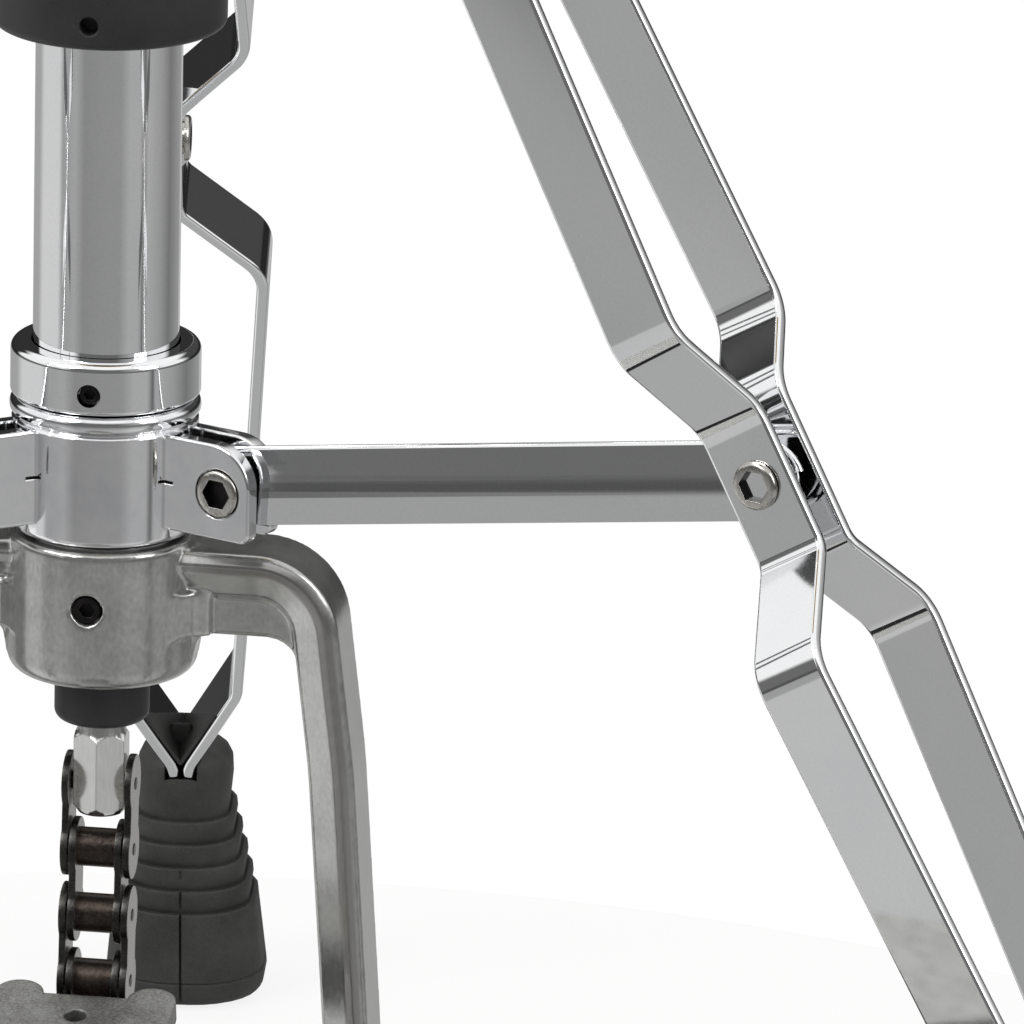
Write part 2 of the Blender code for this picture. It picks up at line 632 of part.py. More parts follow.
def make_rods(parent):
    """The connector, the two pull rods and the flange that rests on the spring."""
    corner = CONNECTOR_FLATS / 2 / math.cos(math.pi / 6)
    low = CONNECTOR_PIN_HEIGHT - CONNECTOR_DROP
    inner = corner - CONNECTOR_CHAMFER
    levels = [
        (inner, low),
        (corner, low + CONNECTOR_CHAMFER),
        (corner, CONNECTOR_TOP - CONNECTOR_CHAMFER),
        (inner, CONNECTOR_TOP),
    ]
    hexagon = [[(x, y, z) for x, y in ring_points(radius, 6, math.pi / 2)] for radius, z in levels]
    connector = add_part("rod_connector", loft(hexagon), BRIGHT_STEEL, parent)
    bottom = CONNECTOR_TOP - ROD_SOCKET
    cut(connector, rod(ROD_DIAMETER / 2 + FIT, bottom, CONNECTOR_TOP + OVERLAP))
    cross = along_x(rod(CHAIN_BORE_DIAMETER / 2, -CONNECTOR_FLATS, CONNECTOR_FLATS))
    cut(connector, moved(cross, shift(z=CONNECTOR_PIN_HEIGHT)))

    radius = ROD_DIAMETER / 2
    upper = UPPER_ROD_DIAMETER / 2
    socket = ROD_TOP - UPPER_ROD_SOCKET
    profile = [(0.0, socket), (upper + FIT, socket), (upper + FIT, ROD_TOP), (radius, ROD_TOP)]
    profile += [(radius, bottom + FIT), (0.0, bottom + FIT)]
    add_part("pull_rod_lower", turned(profile, SMALL_FACETS), BRIGHT_STEEL, parent)
    upper_rod = chamfered_rod(upper, socket + FIT, UPPER_ROD_TOP, FIT, SMALL_FACETS)
    add_part("pull_rod_upper", upper_rod, BRIGHT_STEEL, parent)
    flange = sleeve(radius + FIT, TUBE_BORE - 2 * FIT, FLANGE_BASE, FLANGE_BASE + FLANGE_HEIGHT)
    add_part("rod_flange", flange, BRIGHT_STEEL, parent)


def arm_path():
    """The middle line of the right arm in X and Z, from inside the hub out and down to its pad."""
    level = HUB_TOP - ARM_DROP
    knee = level - ARM_BEND
    lean = (ARM_FOOT_SPAN - ARM_SPAN) / knee
    top = ARM_SPAN - lean * (level - knee)
    start = (TUBE_RADIUS + TUBE_WALL, level)
    foot = BASE_THICKNESS + FIT + ARM_PAD_THICKNESS / 2
    return rounded([start, (top, level), (ARM_FOOT_SPAN - lean * foot, foot)], ARM_BEND, 2 * ARC_STEPS)


def arm_shape(side):
    """An arm of the yoke: a section that is deepest along its outer side, swept along the path."""
    half, deep = ARM_WIDTH / 2, ARM_DEPTH / 2
    section = [(-half, ARM_RIDGE_RISE - deep), (half - ARM_RIDGE, -deep), (half, -deep)]
    section += [(across, -depth) for across, depth in reversed(section)]
    path = arm_path()
    rings = []
    for i, point in enumerate(path):
        ahead = (path[min(i + 1, len(path) - 1)] - path[max(i - 1, 0)]).normalized()
        outward = Vector((-ahead.y, ahead.x))
        ring = [point + outward * across for across, _ in section]
        rings.append([(side * p.x, depth, p.y) for p, (_, depth) in zip(ring, section)])
    return loft(rings)


def make_yoke(parent):
    """The cast frame: a hub on the tube, two arms with webs, and pads on the base plate."""
    radius = HUB_DIAMETER / 2
    stem = BUSH_STEM_DIAMETER / 2 + FIT
    seat = HUB_BASE + HUB_FLOOR
    corner = rounded([(stem, HUB_BASE), (radius, HUB_BASE), (radius, HUB_TOP)], HUB_ROUND)
    profile = [tuple(p) for p in corner[:-1]]
    profile += [(radius, HUB_TOP - HUB_CHAMFER), (radius - HUB_CHAMFER, HUB_TOP)]
    profile += [(SLEEVE_BORE, HUB_TOP), (SLEEVE_BORE, seat), (stem, seat)]
    yoke = add_part("yoke_frame", turned(profile), CAST_ALUMINIUM, parent)
    level = HUB_TOP - ARM_DROP
    reach = ARM_SPAN - ARM_WIDTH / 2 + OVERLAP
    web = [(TUBE_RADIUS + TUBE_WALL, level), (TUBE_RADIUS + TUBE_WALL, level - WEB_HEIGHT)]
    web += [tuple(p) for p in rounded(
        [(TUBE_RADIUS + TUBE_WALL, level - WEB_HEIGHT), (reach, level - WEB_HEIGHT),
         (reach, level - ARM_BEND - WEB_ROUND)], WEB_ROUND)[1:-1]]
    web.append((reach, level - ARM_BEND))
    web.append((reach - ARM_BEND / 2, level))
    for side in (-1, 1):
        join(yoke, arm_shape(side))
        panel = upright(prism(web, -WEB_THICKNESS / 2, WEB_THICKNESS / 2))
        join(yoke, panel if side > 0 else moved(panel, turn_about("Z", math.pi)))
        pad_x = sorted(side * (ARM_FOOT_SPAN + way * ARM_PAD_WIDTH / 2) for way in (-1, 1))
        pad_z = (BASE_THICKNESS + FIT, BASE_THICKNESS + FIT + ARM_PAD_THICKNESS)
        join(yoke, block(pad_x, (-ARM_PAD_LENGTH / 2, ARM_PAD_LENGTH / 2), pad_z))
    bore = rod(SLEEVE_BORE, seat, HUB_TOP + OVERLAP, FACETS)
    screw_place = shift(z=HUB_BASE + HUB_SCREW_HEIGHT)
    cut(yoke, bore, moved(along_y(rod(HUB_SCREW_DIAMETER / 2 + FIT, -2 * radius, 0.0)), screw_place))
    end = -SLEEVE_BORE
    screw = socket_screw(HUB_SCREW_DIAMETER / 2, end - HUB_SCREW_LENGTH, end)
    add_part("yoke_set_screw", moved(screw, screw_place), BLACK_PAINT, parent)


def socket_screw(radius, face, end):
    """A headless screw along Y whose face, at the lower Y, has a round recess for the key."""
    recess = radius * 0.55
    depth = min(radius, (end - face) / 2)
    profile = [(0.0, face + depth), (recess, face + depth), (recess, face), (radius, face)]
    profile += [(radius, end), (0.0, end)]
    return along_y(turned(profile, SMALL_FACETS))


def make_tube(parent):
    """The lower tube with the slots of the spring seat, and the guide bush in its end."""
    tube = add_part("lower_tube", sleeve(TUBE_BORE, TUBE_RADIUS, TUBE_BOTTOM, TUBE_TOP), CHROME, parent)
    half = SEAT_LUG_WIDTH / 2 + FIT
    slot_z = (SEAT_BASE - SEAT_TRAVEL, SEAT_BASE + SEAT_HEIGHT + SEAT_TRAVEL)
    cut(tube, block((-TUBE_DIAMETER, TUBE_DIAMETER), (-half, half), slot_z))
    radius = BUSH_DIAMETER / 2
    bore = ROD_DIAMETER / 2 + FIT
    top = HUB_BASE - FIT
    edge = rounded([(bore, top - BUSH_DROP), (radius, top - BUSH_DROP), (radius, top)], BUSH_ROUND)
    stem = BUSH_STEM_DIAMETER / 2
    stem_top = top + BUSH_STEM_RISE
    profile = [tuple(p) for p in edge] + [(stem, top), (stem, stem_top), (bore, stem_top)]
    add_part("guide_bush", turned(profile), BLACK_PLASTIC, parent)


def make_stop_ring(parent):
    """The ring that keeps the tripod down on the hub, and its set screw."""
    radius = RING_DIAMETER / 2
    top = RING_BASE + RING_HEIGHT
    profile = [(SLEEVE_BORE, top), (radius - RING_BEVEL, top - FIT), (radius, top - RING_BEVEL)]
    profile += [(radius, RING_BASE + COLLAR_CHAMFER), (radius - COLLAR_CHAMFER, RING_BASE)]
    profile += [(SLEEVE_BORE, RING_BASE)]
    ring = add_part("stop_ring", turned(profile), CHROME, parent)
    height = RING_BASE + (RING_HEIGHT - RING_BEVEL) / 2
    cut(ring, moved(along_y(rod(RING_SCREW_DIAMETER / 2 + FIT, -2 * radius, 0.0)), shift(z=height)))
    screw = socket_screw(RING_SCREW_DIAMETER / 2, -radius + RING_SCREW_SUNK, -SLEEVE_BORE)
    add_part("stop_ring_screw", moved(screw, shift(z=height)), BLACK_PAINT, parent)


def key_socket(face):
    """The hexagonal recess of a bolt along Y, from its face at the lower Y."""
    corner = SOCKET_FLATS / 2 / math.cos(math.pi / 6)
    return along_y(rod(corner, face - OVERLAP, face + SOCKET_DEPTH, 6))


def leg_turns():
    """The legs' names and directions, with the leg at the right of the pedal first."""
    names = ("right", "back", "left")
    return [(names[i], TRIPOD_TURN + 2 * math.pi * i / LEG_COUNT) for i in range(LEG_COUNT)]


def make_strut_collar(parent):
    """The swivelling collar with three pairs of ears, in a frame on the tube's axis at its base."""
    radius = COLLAR_DIAMETER / 2
    lip = COLLAR_LIP_DIAMETER / 2
    top = COLLAR_HEIGHT
    profile = [(SLEEVE_BORE, top), (lip - COLLAR_CHAMFER, top), (lip, top - COLLAR_CHAMFER)]
    profile += [(lip, top - COLLAR_LIP + COLLAR_CHAMFER), (radius, top - COLLAR_LIP)]
    profile += [(radius, COLLAR_CHAMFER), (radius - COLLAR_CHAMFER, 0.0), (SLEEVE_BORE, 0.0)]
    collar = add_part("strut_collar", turned(profile), CHROME, parent)
    gap = STRUT_WIDTH / 2 + FIT
    face = gap + LUG_EAR
    reach = LUG_RADIUS + LUG_REACH
    inside = TUBE_RADIUS + TUBE_WALL
    lug_low, lug_high = LUG_MARGIN, top - COLLAR_LIP
    corners = [(inside, lug_low), (reach, lug_low), (reach, lug_high), (inside, lug_high)]
    outline = rounded(corners, (0, LUG_FOOT_ROUND, LUG_TOP_ROUND, 0), ARC_STEPS, closed=True)
    for name, turn in leg_turns():
        around = turn_about("Z", turn)
        for low, high in ((-face, -gap), (gap, face)):
            join(collar, moved(upright(prism(outline, -high, -low)), around))
        pivot = shift(x=LUG_RADIUS, z=LUG_RISE)
        hole = along_y(rod(BOLT_DIAMETER / 2 + FIT, -face - OVERLAP, face + OVERLAP))
        bore = along_y(rod(BOLT_HEAD_DIAMETER / 2 + FIT, -face - OVERLAP, -face + BOLT_HEAD_SUNK))
        cut(collar, moved(hole, pivot, around), moved(bore, pivot, around))
        shank, head = BOLT_DIAMETER / 2, BOLT_HEAD_DIAMETER / 2
        start, under = -face - BOLT_HEAD_PROUD, -face + BOLT_HEAD_SUNK - FIT
        profile = [(0.0, start), (head - BOLT_HEAD_PROUD, start), (head, start + BOLT_HEAD_PROUD)]
        profile += [(head, under), (shank, under), (shank, face), (0.0, face)]
        bolt_shape = moved(along_y(turned(profile, SMALL_FACETS)), pivot, around)
        bolt = add_part("lug_bolt_" + name, bolt_shape, BRIGHT_STEEL, parent)
        cut(bolt, moved(key_socket(start), pivot, around))


def make_strut(name, parent):
    """A pressed channel open below, in a frame on its lug pivot with X outwards along the floor."""
    half = STRUT_HEIGHT / 2
    steps = 2 * ARC_STEPS
    outline = []
    for end, start in ((STRUT_LENGTH, -math.pi / 2), (0.0, math.pi / 2)):
        for step in range(steps + 1):
            angle = start + math.pi * step / steps
            outline.append((end + half * math.cos(angle), half * math.sin(angle)))
    shape = upright(prism(outline, -STRUT_WIDTH / 2, STRUT_WIDTH / 2))
    crest = [
        edge for edge in shape.edges
        if all(abs(vert.co.z - half) < FIT for vert in edge.verts) and edge.calc_length() > STRUT_WIDTH * 2
    ]
    bmesh.ops.bevel(shape, geom=crest, offset=STRUT_ROUND, segments=2, profile=0.5, affect="EDGES")
    tilt = turn_about("Y", -STRUT_ANGLE)
    strut = add_part("strut_" + name, moved(shape, tilt), CHROME, parent)
    inner = STRUT_WIDTH / 2 - STRUT_WALL
    length = (-STRUT_HEIGHT, STRUT_LENGTH + STRUT_HEIGHT)
    channel = block(length, (-inner, inner), (-STRUT_HEIGHT, half - STRUT_WALL))
    cut(strut, moved(channel, tilt), along_y(rod(BOLT_DIAMETER / 2 + FIT, -STRUT_WIDTH, STRUT_WIDTH)))


def strip_path():
    """A strip's outside as (distance from the top pivot, distance from the leg's middle plane)."""
    top = LEG_LUG_WIDTH / 2 + STRIP_GAP + STRIP_THICKNESS
    pinch = STRUT_WIDTH / 2 + FIT + STRIP_THICKNESS
    grip = STRIP_THICKNESS + FIT
    run = PINCH_HALF + PINCH_RUN
    corners = [
        (0.0, top),
        (LEG_UPPER - run, STRIP_SPREAD_ABOVE),
        (LEG_UPPER - PINCH_HALF, pinch),
        (LEG_UPPER + PINCH_HALF, pinch),
        (LEG_UPPER + run, STRIP_SPREAD_BELOW),
        (LEG_UPPER + FOOT_BEND, STRIP_SPREAD_AT_FOOT),
        (LEG_UPPER + FOOT_GRIP, grip),
        (LEG_UPPER + LEG_LOWER, grip),
    ]
    return rounded([(s, b - STRIP_THICKNESS / 2) for s, b in corners], STRIP_BEND, 3)


def leg_frame():
    """From (along the leg, across it, out of it) to the frame on the leg's top pivot."""
    along = Vector((math.sin(LEG_ANGLE), 0.0, -math.cos(LEG_ANGLE)))
    out = Vector((math.cos(LEG_ANGLE), 0.0, math.sin(LEG_ANGLE)))
    return Matrix((along, Vector((0.0, 1.0, 0.0)), out)).transposed().to_4x4()


def strip_shape(side):
    """A flat strip bent along its path, with a round end at the top pivot."""
    path = strip_path()
    half = STRIP_WIDTH / 2
    lead = (path[1] - path[0]).normalized()
    stations = []
    for step in range(1, 2 * ARC_STEPS):
        angle = math.pi / 2 * step / (2 * ARC_STEPS)
        stations.append((path[0] - lead * half * math.cos(angle), lead, half * math.sin(angle)))
    for i, point in enumerate(path):
        ahead = (path[min(i + 1, len(path) - 1)] - path[max(i - 1, 0)]).normalized()
        stations.append((point, ahead, half))
    sections = []
    for point, ahead, reach in stations:
        off = Vector((-ahead.y, ahead.x)) * STRIP_THICKNESS / 2
        inner, outer = point - off, point + off
        ring = [(inner, -reach), (outer, -reach), (outer, reach), (inner, reach)]
        sections.append([(p.x, side * p.y, n) for p, n in ring])
    return moved(loft(sections), leg_frame())


def foot_ring(height, inset=0.0):
    """A rounded section of the rubber foot at a height above the floor, in the leg's frame."""
    share = height / FOOT_HEIGHT
    wide = (FOOT_WIDTH + (FOOT_TOP_WIDTH - FOOT_WIDTH) * share) / 2 - inset
    long = (FOOT_LENGTH + (FOOT_TOP_LENGTH - FOOT_LENGTH) * share) / 2 - inset
    end = (LEG_UPPER + LEG_LOWER) * math.sin(LEG_ANGLE)
    middle = end + FOOT_SHIFT - FOOT_LEAN * share
    corner = FOOT_ROUND * min(wide, long)
    sides = [(long, -wide), (long, wide), (-long, wide), (-long, -wide)]
    outline = rounded(sides, corner, 2, closed=True)
    return [(middle + p.x, p.y, height - LEG_TOP_HEIGHT) for p in outline]


def make_foot(name, parent):
    """A ribbed rubber foot with a notch and a pocket for the ends of the two strips."""
    levels = [(0.0, FOOT_RIB_DEPTH), (FOOT_RIB_DEPTH, 0.0), (FOOT_SOLE, 0.0)]
    for rib in range(FOOT_RIBS):
        edge = FOOT_RIB_BASE + rib * FOOT_RIB_STEP
        inset = rib * FOOT_RIB_DEPTH / 2
        levels += [(edge, inset), (edge + FIT, inset + FOOT_RIB_DEPTH)]
    levels += [(FOOT_HEIGHT - 2 * FOOT_RIB_DEPTH, 0.0), (FOOT_HEIGHT, FOOT_RIB_DEPTH)]
    shape = loft([foot_ring(height, inset) for height, inset in levels])
    foot = add_part("rubber_foot_" + name, shape, RUBBER, parent)
    wide = STRIP_THICKNESS + 3 * FIT
    long = STRIP_WIDTH / 2 + FIT
    end = LEG_UPPER + LEG_LOWER + FIT
    flare = STRIP_SPREAD_AT_FOOT + 2 * FIT
    pocket = block((LEG_UPPER + FOOT_GRIP - OVERLAP, end), (-wide, wide), (-long, long))
    edge = leg_frame() @ shift(x=LEG_UPPER, z=-STRIP_WIDTH / 2)
    low, high = (edge @ Vector((along, 0.0, 0.0)) for along in (FOOT_GRIP, FOOT_BEND))
    valley = [(-wide, low.z), (wide, low.z), (flare, high.z), (-flare, high.z)]
    notch = loft([[(x, y, z) for y, z in valley] for x in (low.x - FOOT_LENGTH, low.x + FOOT_LENGTH)])
    cut(foot, moved(pocket, leg_frame()), notch)


def make_leg(name, parent):
    """Two strips, their pivot bolt and the foot, in a frame on the leg's top pivot."""
    for label, side in (("a", -1), ("b", 1)):
        strip = add_part("leg_strip_" + name + "_" + label, strip_shape(side), CHROME, parent)
        cut(strip, along_y(rod(BOLT_DIAMETER / 2 + FIT, -2 * STRIP_SPREAD_ABOVE, 2 * STRIP_SPREAD_ABOVE)))
        if side < 0:
            hole = along_y(rod(PIVOT_STUB_DIAMETER / 2 + FIT, -STRIP_SPREAD_ABOVE, 0.0))
            cut(strip, moved(hole, leg_frame() @ shift(x=LEG_UPPER) @ leg_frame().inverted()))
    inside = -STRUT_WIDTH / 2 - FIT
    face = inside - STRIP_THICKNESS - FIT
    start = face - PIVOT_HEAD_THICKNESS
    stub, head = PIVOT_STUB_DIAMETER / 2, PIVOT_HEAD_DIAMETER / 2
    rim = head - PIVOT_HEAD_THICKNESS / 2
    profile = [(0.0, start), (rim, start), (head, start + PIVOT_HEAD_THICKNESS / 2), (head, face)]
    profile += [(stub, face), (stub, inside - FIT / 2), (0.0, inside - FIT / 2)]
    place = leg_frame() @ shift(x=LEG_UPPER) @ leg_frame().inverted()
    bolt_shape = moved(along_y(turned(profile, SMALL_FACETS)), place)
    bolt = add_part("pivot_bolt_" + name, bolt_shape, BRIGHT_STEEL, parent)
    cut(bolt, moved(key_socket(start), place))
    make_foot(name, parent)


def make_leg_collar(parent):
    """The sliding collar with three lugs and the boss of its wing screw, in a frame at its middle."""
    half = LEG_COLLAR_HEIGHT / 2
    radius = COLLAR_DIAMETER / 2
    profile = [(SLEEVE_BORE, half), (radius - COLLAR_CHAMFER, half), (radius, half - COLLAR_CHAMFER)]
    profile += [(radius, COLLAR_CHAMFER - half), (radius - COLLAR_CHAMFER, -half), (SLEEVE_BORE, -half)]
    collar = add_part("leg_collar", turned(profile), CHROME, parent)
    lug, rise = LEG_LUG_WIDTH / 2, LEG_LUG_HEIGHT / 2
    inside = TUBE_RADIUS + TUBE_WALL
    reach = LUG_RADIUS + rise
    corners = [(inside, -rise), (reach, -rise), (reach, rise), (inside, rise)]
    outline = rounded(corners, (0, rise - FIT, rise - FIT, 0), ARC_STEPS, closed=True)
    for name, turn in leg_turns():
        around = turn_about("Z", turn)
        pivot = shift(x=LUG_RADIUS)
        join(collar, moved(upright(prism(outline, -lug, lug)), around))
        cut(collar, moved(along_y(rod(BOLT_DIAMETER / 2 + FIT, -radius, radius)), pivot, around))
        end = lug + STRIP_GAP + STRIP_THICKNESS + 2 * FIT
        head, shank = LEG_PIN_HEAD / 2, BOLT_DIAMETER / 2
        rim = end + LEG_PIN_HEAD_THICKNESS
        profile = [(0.0, rim), (head, rim), (head, end), (shank, end)]
        profile += [(r, -y) for r, y in reversed(profile)]
        pin = moved(along_y(turned(profile, SMALL_FACETS)), pivot, around)
        add_part("leg_pin_" + name, pin, BRIGHT_STEEL, parent)
    around = turn_about("Z", TRIPOD_TURN + WING_SCREW_TURN)
    join(collar, moved(along_x(rod(BOSS_DIAMETER / 2, inside, BOSS_REACH)), around))
    cut(collar, moved(along_x(rod(SCREW_DIAMETER / 2 + FIT, 0.0, BOSS_REACH + OVERLAP)), around))


def make_wing_screw(name, tip, seat, parent, size=1.0):
    """A screw with two wings along X, from its tip to the head that stands off its boss."""
    radius = SCREW_DIAMETER / 2 * size
    neck = seat + SCREW_HEAD_GAP * size
    end = neck + WING_HUB_LENGTH * size
    shape = along_x(rod(radius, tip, neck + OVERLAP))
    screw = add_part(name, shape, CHROME, parent)
    join(screw, along_x(rod(WING_HUB_DIAMETER / 2 * size, neck, end)))
    low, high = neck + OVERLAP * size, end + (WING_HEIGHT - WING_HUB_LENGTH) * size + OVERLAP * size
    span = WING_SPAN / 2 * size
    waist = WING_HUB_DIAMETER / 4 * size
    round_off = (high - low) / 3
    corners = [(low, -waist), (low + round_off, -span), (high, -span), (high - round_off, -waist)]
    corners += [(x, -y) for x, y in reversed(corners)]
    rounds = (0, round_off, round_off / 2, 0, 0, round_off / 2, round_off, 0)
    thick = WING_THICKNESS / 2 * size
    join(screw, prism(rounded(corners, rounds, 2, closed=True), -thick, thick))


def make_dial(parent):
    """The knob round the tube that sets the spring, with a groove inside for the seat's lugs."""
    radius = DIAL_DIAMETER / 2
    top = DIAL_HEIGHT
    outer = rounded([(SLEEVE_BORE, 0.0), (radius, 0.0), (radius, top), (SLEEVE_BORE, top)], DIAL_ROUND)
    profile = [tuple(p) for p in outer]
    profile += [(SLEEVE_BORE, top - DIAL_END), (DIAL_GROOVE / 2, top - DIAL_END)]
    profile += [(DIAL_GROOVE / 2, DIAL_END), (SLEEVE_BORE, DIAL_END)]
    dial = add_part("tension_dial", turned(profile), BLACK_PLASTIC, parent)
    hole = along_y(rod(DIAL_HOLE_DIAMETER / 2, -radius - OVERLAP, -radius + DIAL_HOLE_DEPTH))
    cut(dial, moved(hole, shift(z=DIAL_HOLE_RISE)))


def make_spring_seat(parent):
    """The disc in the tube that the spring stands on, with two lugs out through the slots."""
    bore = ROD_DIAMETER / 2 + FIT
    top = SEAT_BASE + SEAT_HEIGHT
    seat = add_part("spring_seat", sleeve(bore, TUBE_BORE - FIT, SEAT_BASE, top), BRIGHT_STEEL, parent)
    half = SEAT_LUG_WIDTH / 2
    reach = DIAL_GROOVE / 2 - 3 * FIT
    lug_z = (SEAT_BASE + OVERLAP, top - OVERLAP)
    for side in (-1, 1):
        limits = sorted((side * (bore + OVERLAP), side * reach))
        join(seat, block(limits, (-half, half), lug_z))


def make_spring(parent):
    """The return spring: one open helix of round wire, from its seat up."""
    count = SPRING_TURNS * SPRING_POINTS
    low = SPRING_WIRE / 2 + FIT
    rise = SPRING_LENGTH - 2 * low
    radius = SPRING_DIAMETER / 2
    points = []
    for i in range(count + 1):
        angle = 2 * math.pi * i / SPRING_POINTS
        points.append(Vector((radius * math.cos(angle), radius * math.sin(angle), low + rise * i / count)))
    curve = bpy.data.curves.new("return_spring", "CURVE")
    curve.dimensions = "3D"
    curve.bevel_depth = SPRING_WIRE / 2
    curve.bevel_resolution = (SPRING_SIDES - 4) // 2
    curve.use_fill_caps = True
    spline = curve.splines.new("POLY")
    spline.points.add(count)
    for target, point in zip(spline.points, points):
        target.co = (*point, 1.0)
    paint(curve, "return_spring", BRIGHT_STEEL)
    spring = bpy.data.objects.new("return_spring", curve)
    spring.parent = parent
    spring.location = (0.0, 0.0, SPRING_BASE)
    bpy.context.scene.collection.objects.link(spring)
    half_turn = SPRING_POINTS // 2
    nearest = min((a - b).length for i, a in enumerate(points) for b in points[i + half_turn:])
    print("least gap of the spring to itself: %.2f mm" % ((nearest - SPRING_WIRE) / MM))


def make_tube_clamp(parent):
    """The casting that holds the upper tube, and the bush between the two tubes."""
    radius = CLAMP_DIAMETER / 2
    low = TUBE_TOP - CLAMP_GRIP
    shelf = TUBE_TOP + FIT + CLAMP_BUSH_FLANGE + FIT
    top = shelf + CLAMP_NECK
    shoulder = radius - CLAMP_CHAMFER
    profile = [(UPPER_BORE, top), (shoulder, top), (radius, top - CLAMP_CHAMFER)]
    profile += [(radius, low + CLAMP_CHAMFER), (shoulder, low)]
    profile += [(SLEEVE_BORE, low), (SLEEVE_BORE, shelf), (UPPER_BORE, shelf)]
    clamp = add_part("tube_clamp", turned(profile), CHROME, parent)
    height = shift(z=shelf + CLAMP_NECK / 2)
    join(clamp, moved(along_x(rod(BOSS_DIAMETER / 2, TUBE_RADIUS + OVERLAP, BOSS_REACH + FIT)), height))
    cut(clamp, moved(along_x(rod(SCREW_DIAMETER / 2 + FIT, 0.0, BOSS_REACH + 2 * OVERLAP)), height))
    under = TUBE_TOP + FIT
    wall = TUBE_BORE - FIT
    profile = [(UPPER_BORE, under + CLAMP_BUSH_FLANGE), (TUBE_RADIUS - FIT, under + CLAMP_BUSH_FLANGE)]
    profile += [(TUBE_RADIUS - FIT, under), (wall, under), (wall, under - CLAMP_BUSH_LENGTH)]
    profile += [(UPPER_BORE, under - CLAMP_BUSH_LENGTH)]
    add_part("tube_clamp_bush", turned(profile), BLACK_PLASTIC, parent)
    return shelf + CLAMP_NECK / 2


def make_upper_tube(parent):
    """The upper tube, the seat cup on its end, the felt and the tilt screw."""
    bore = UPPER_TUBE_DIAMETER / 2 - UPPER_TUBE_WALL
    tube = sleeve(bore, UPPER_TUBE_DIAMETER / 2, UPPER_TUBE_BOTTOM, UPPER_TUBE_TOP)
    add_part("upper_tube", tube, CHROME, parent)
    rod_bore = UPPER_ROD_DIAMETER / 2 + 2 * FIT
    outer = UPPER_BORE + CUP_WALL
    brim = CUP_DIAMETER / 2
    plate = CUP_BASE + CUP_THICKNESS
    neck = CUP_NECK_DIAMETER / 2
    profile = [(rod_bore, plate + CUP_NECK), (neck, plate + CUP_NECK), (neck, plate), (brim, plate)]
    profile += [(brim, plate - CUP_THICKNESS / 2), (outer, CUP_BASE - CUP_WALL)]
    profile += [(outer, CUP_BASE - CUP_SLEEVE), (UPPER_BORE, CUP_BASE - CUP_SLEEVE), (UPPER_BORE, CUP_BASE)]
    profile += [(rod_bore, CUP_BASE)]
    cup = add_part("seat_cup", turned(profile), BLACK_PLASTIC, parent)
    place = shift(x=tilt_screw_radius())
    cut(cup, moved(rod(TILT_SCREW_DIAMETER / 2 + FIT, CUP_BASE - CUP_SLEEVE, plate + OVERLAP), place))
    felt = sleeve(neck + FIT, SEAT_FELT_DIAMETER / 2, FELT_BASE, FELT_BASE + SEAT_FELT_THICKNESS)
    add_part("seat_felt", felt, FELT, parent)


def tilt_screw_radius():
    """The tilt screw stands outside the sleeve of the seat cup."""
    return UPPER_BORE + CUP_WALL + TILT_SCREW_HEAD / 2 + 2 * FIT


def make_tilt_screw(parent):
    """A vertical screw with a milled head under the seat cup, in a frame on its own axis."""
    shank, head = TILT_SCREW_DIAMETER / 2, TILT_SCREW_HEAD / 2
    top = CUP_THICKNESS - FIT
    low = top - TILT_SCREW_LENGTH
    under = low - TILT_SCREW_HEAD_HEIGHT
    profile = [(0.0, top), (shank, top), (shank, low), (head, low), (head, under), (0.0, under)]
    add_part("tilt_screw", turned(profile, SMALL_FACETS), BRIGHT_STEEL, parent)


def cymbal_height(radius):
    """How far the upper side of a cymbal is above its rim."""
    rim, bell = CYMBAL_DIAMETER / 2, BELL_DIAMETER / 2
    bow = CYMBAL_BOW * (1 - (radius / rim) ** 2)
    dome = BELL_HEIGHT * max(0.0, 1 - (radius / bell) ** 2)
    return bow + dome


def cymbal_shape():
    """A cymbal with its bell up and the underside of its rim at zero."""
    hole, bell, rim = CYMBAL_HOLE / 2, BELL_DIAMETER / 2, CYMBAL_DIAMETER / 2
    radii = [hole + (bell - hole) * i / BELL_STEPS for i in range(BELL_STEPS)]
    radii += [bell + (rim - bell) * i / BOW_STEPS for i in range(BOW_STEPS + 1)]
    upper = [(r, cymbal_height(r) + CYMBAL_THICKNESS) for r in radii]
    lower = [(r, cymbal_height(r)) for r in reversed(radii)]
    return turned(upper + lower, CYMBAL_FACETS)


def make_bottom_cymbal(parent):
    """The lower cymbal, bell down on the seat felt, in a frame on the felt."""
    shape = moved(cymbal_shape(), turn_about("X", math.pi), shift(z=CYMBAL_HEIGHT))
    add_part("bottom_cymbal", shape, BRONZE, parent)


def make_top_cymbal(parent):
    """The upper cymbal, bell up, in a frame at the upper edge of its hole."""
    add_part("top_cymbal", moved(cymbal_shape(), shift(z=-CYMBAL_HEIGHT)), BRONZE, parent)


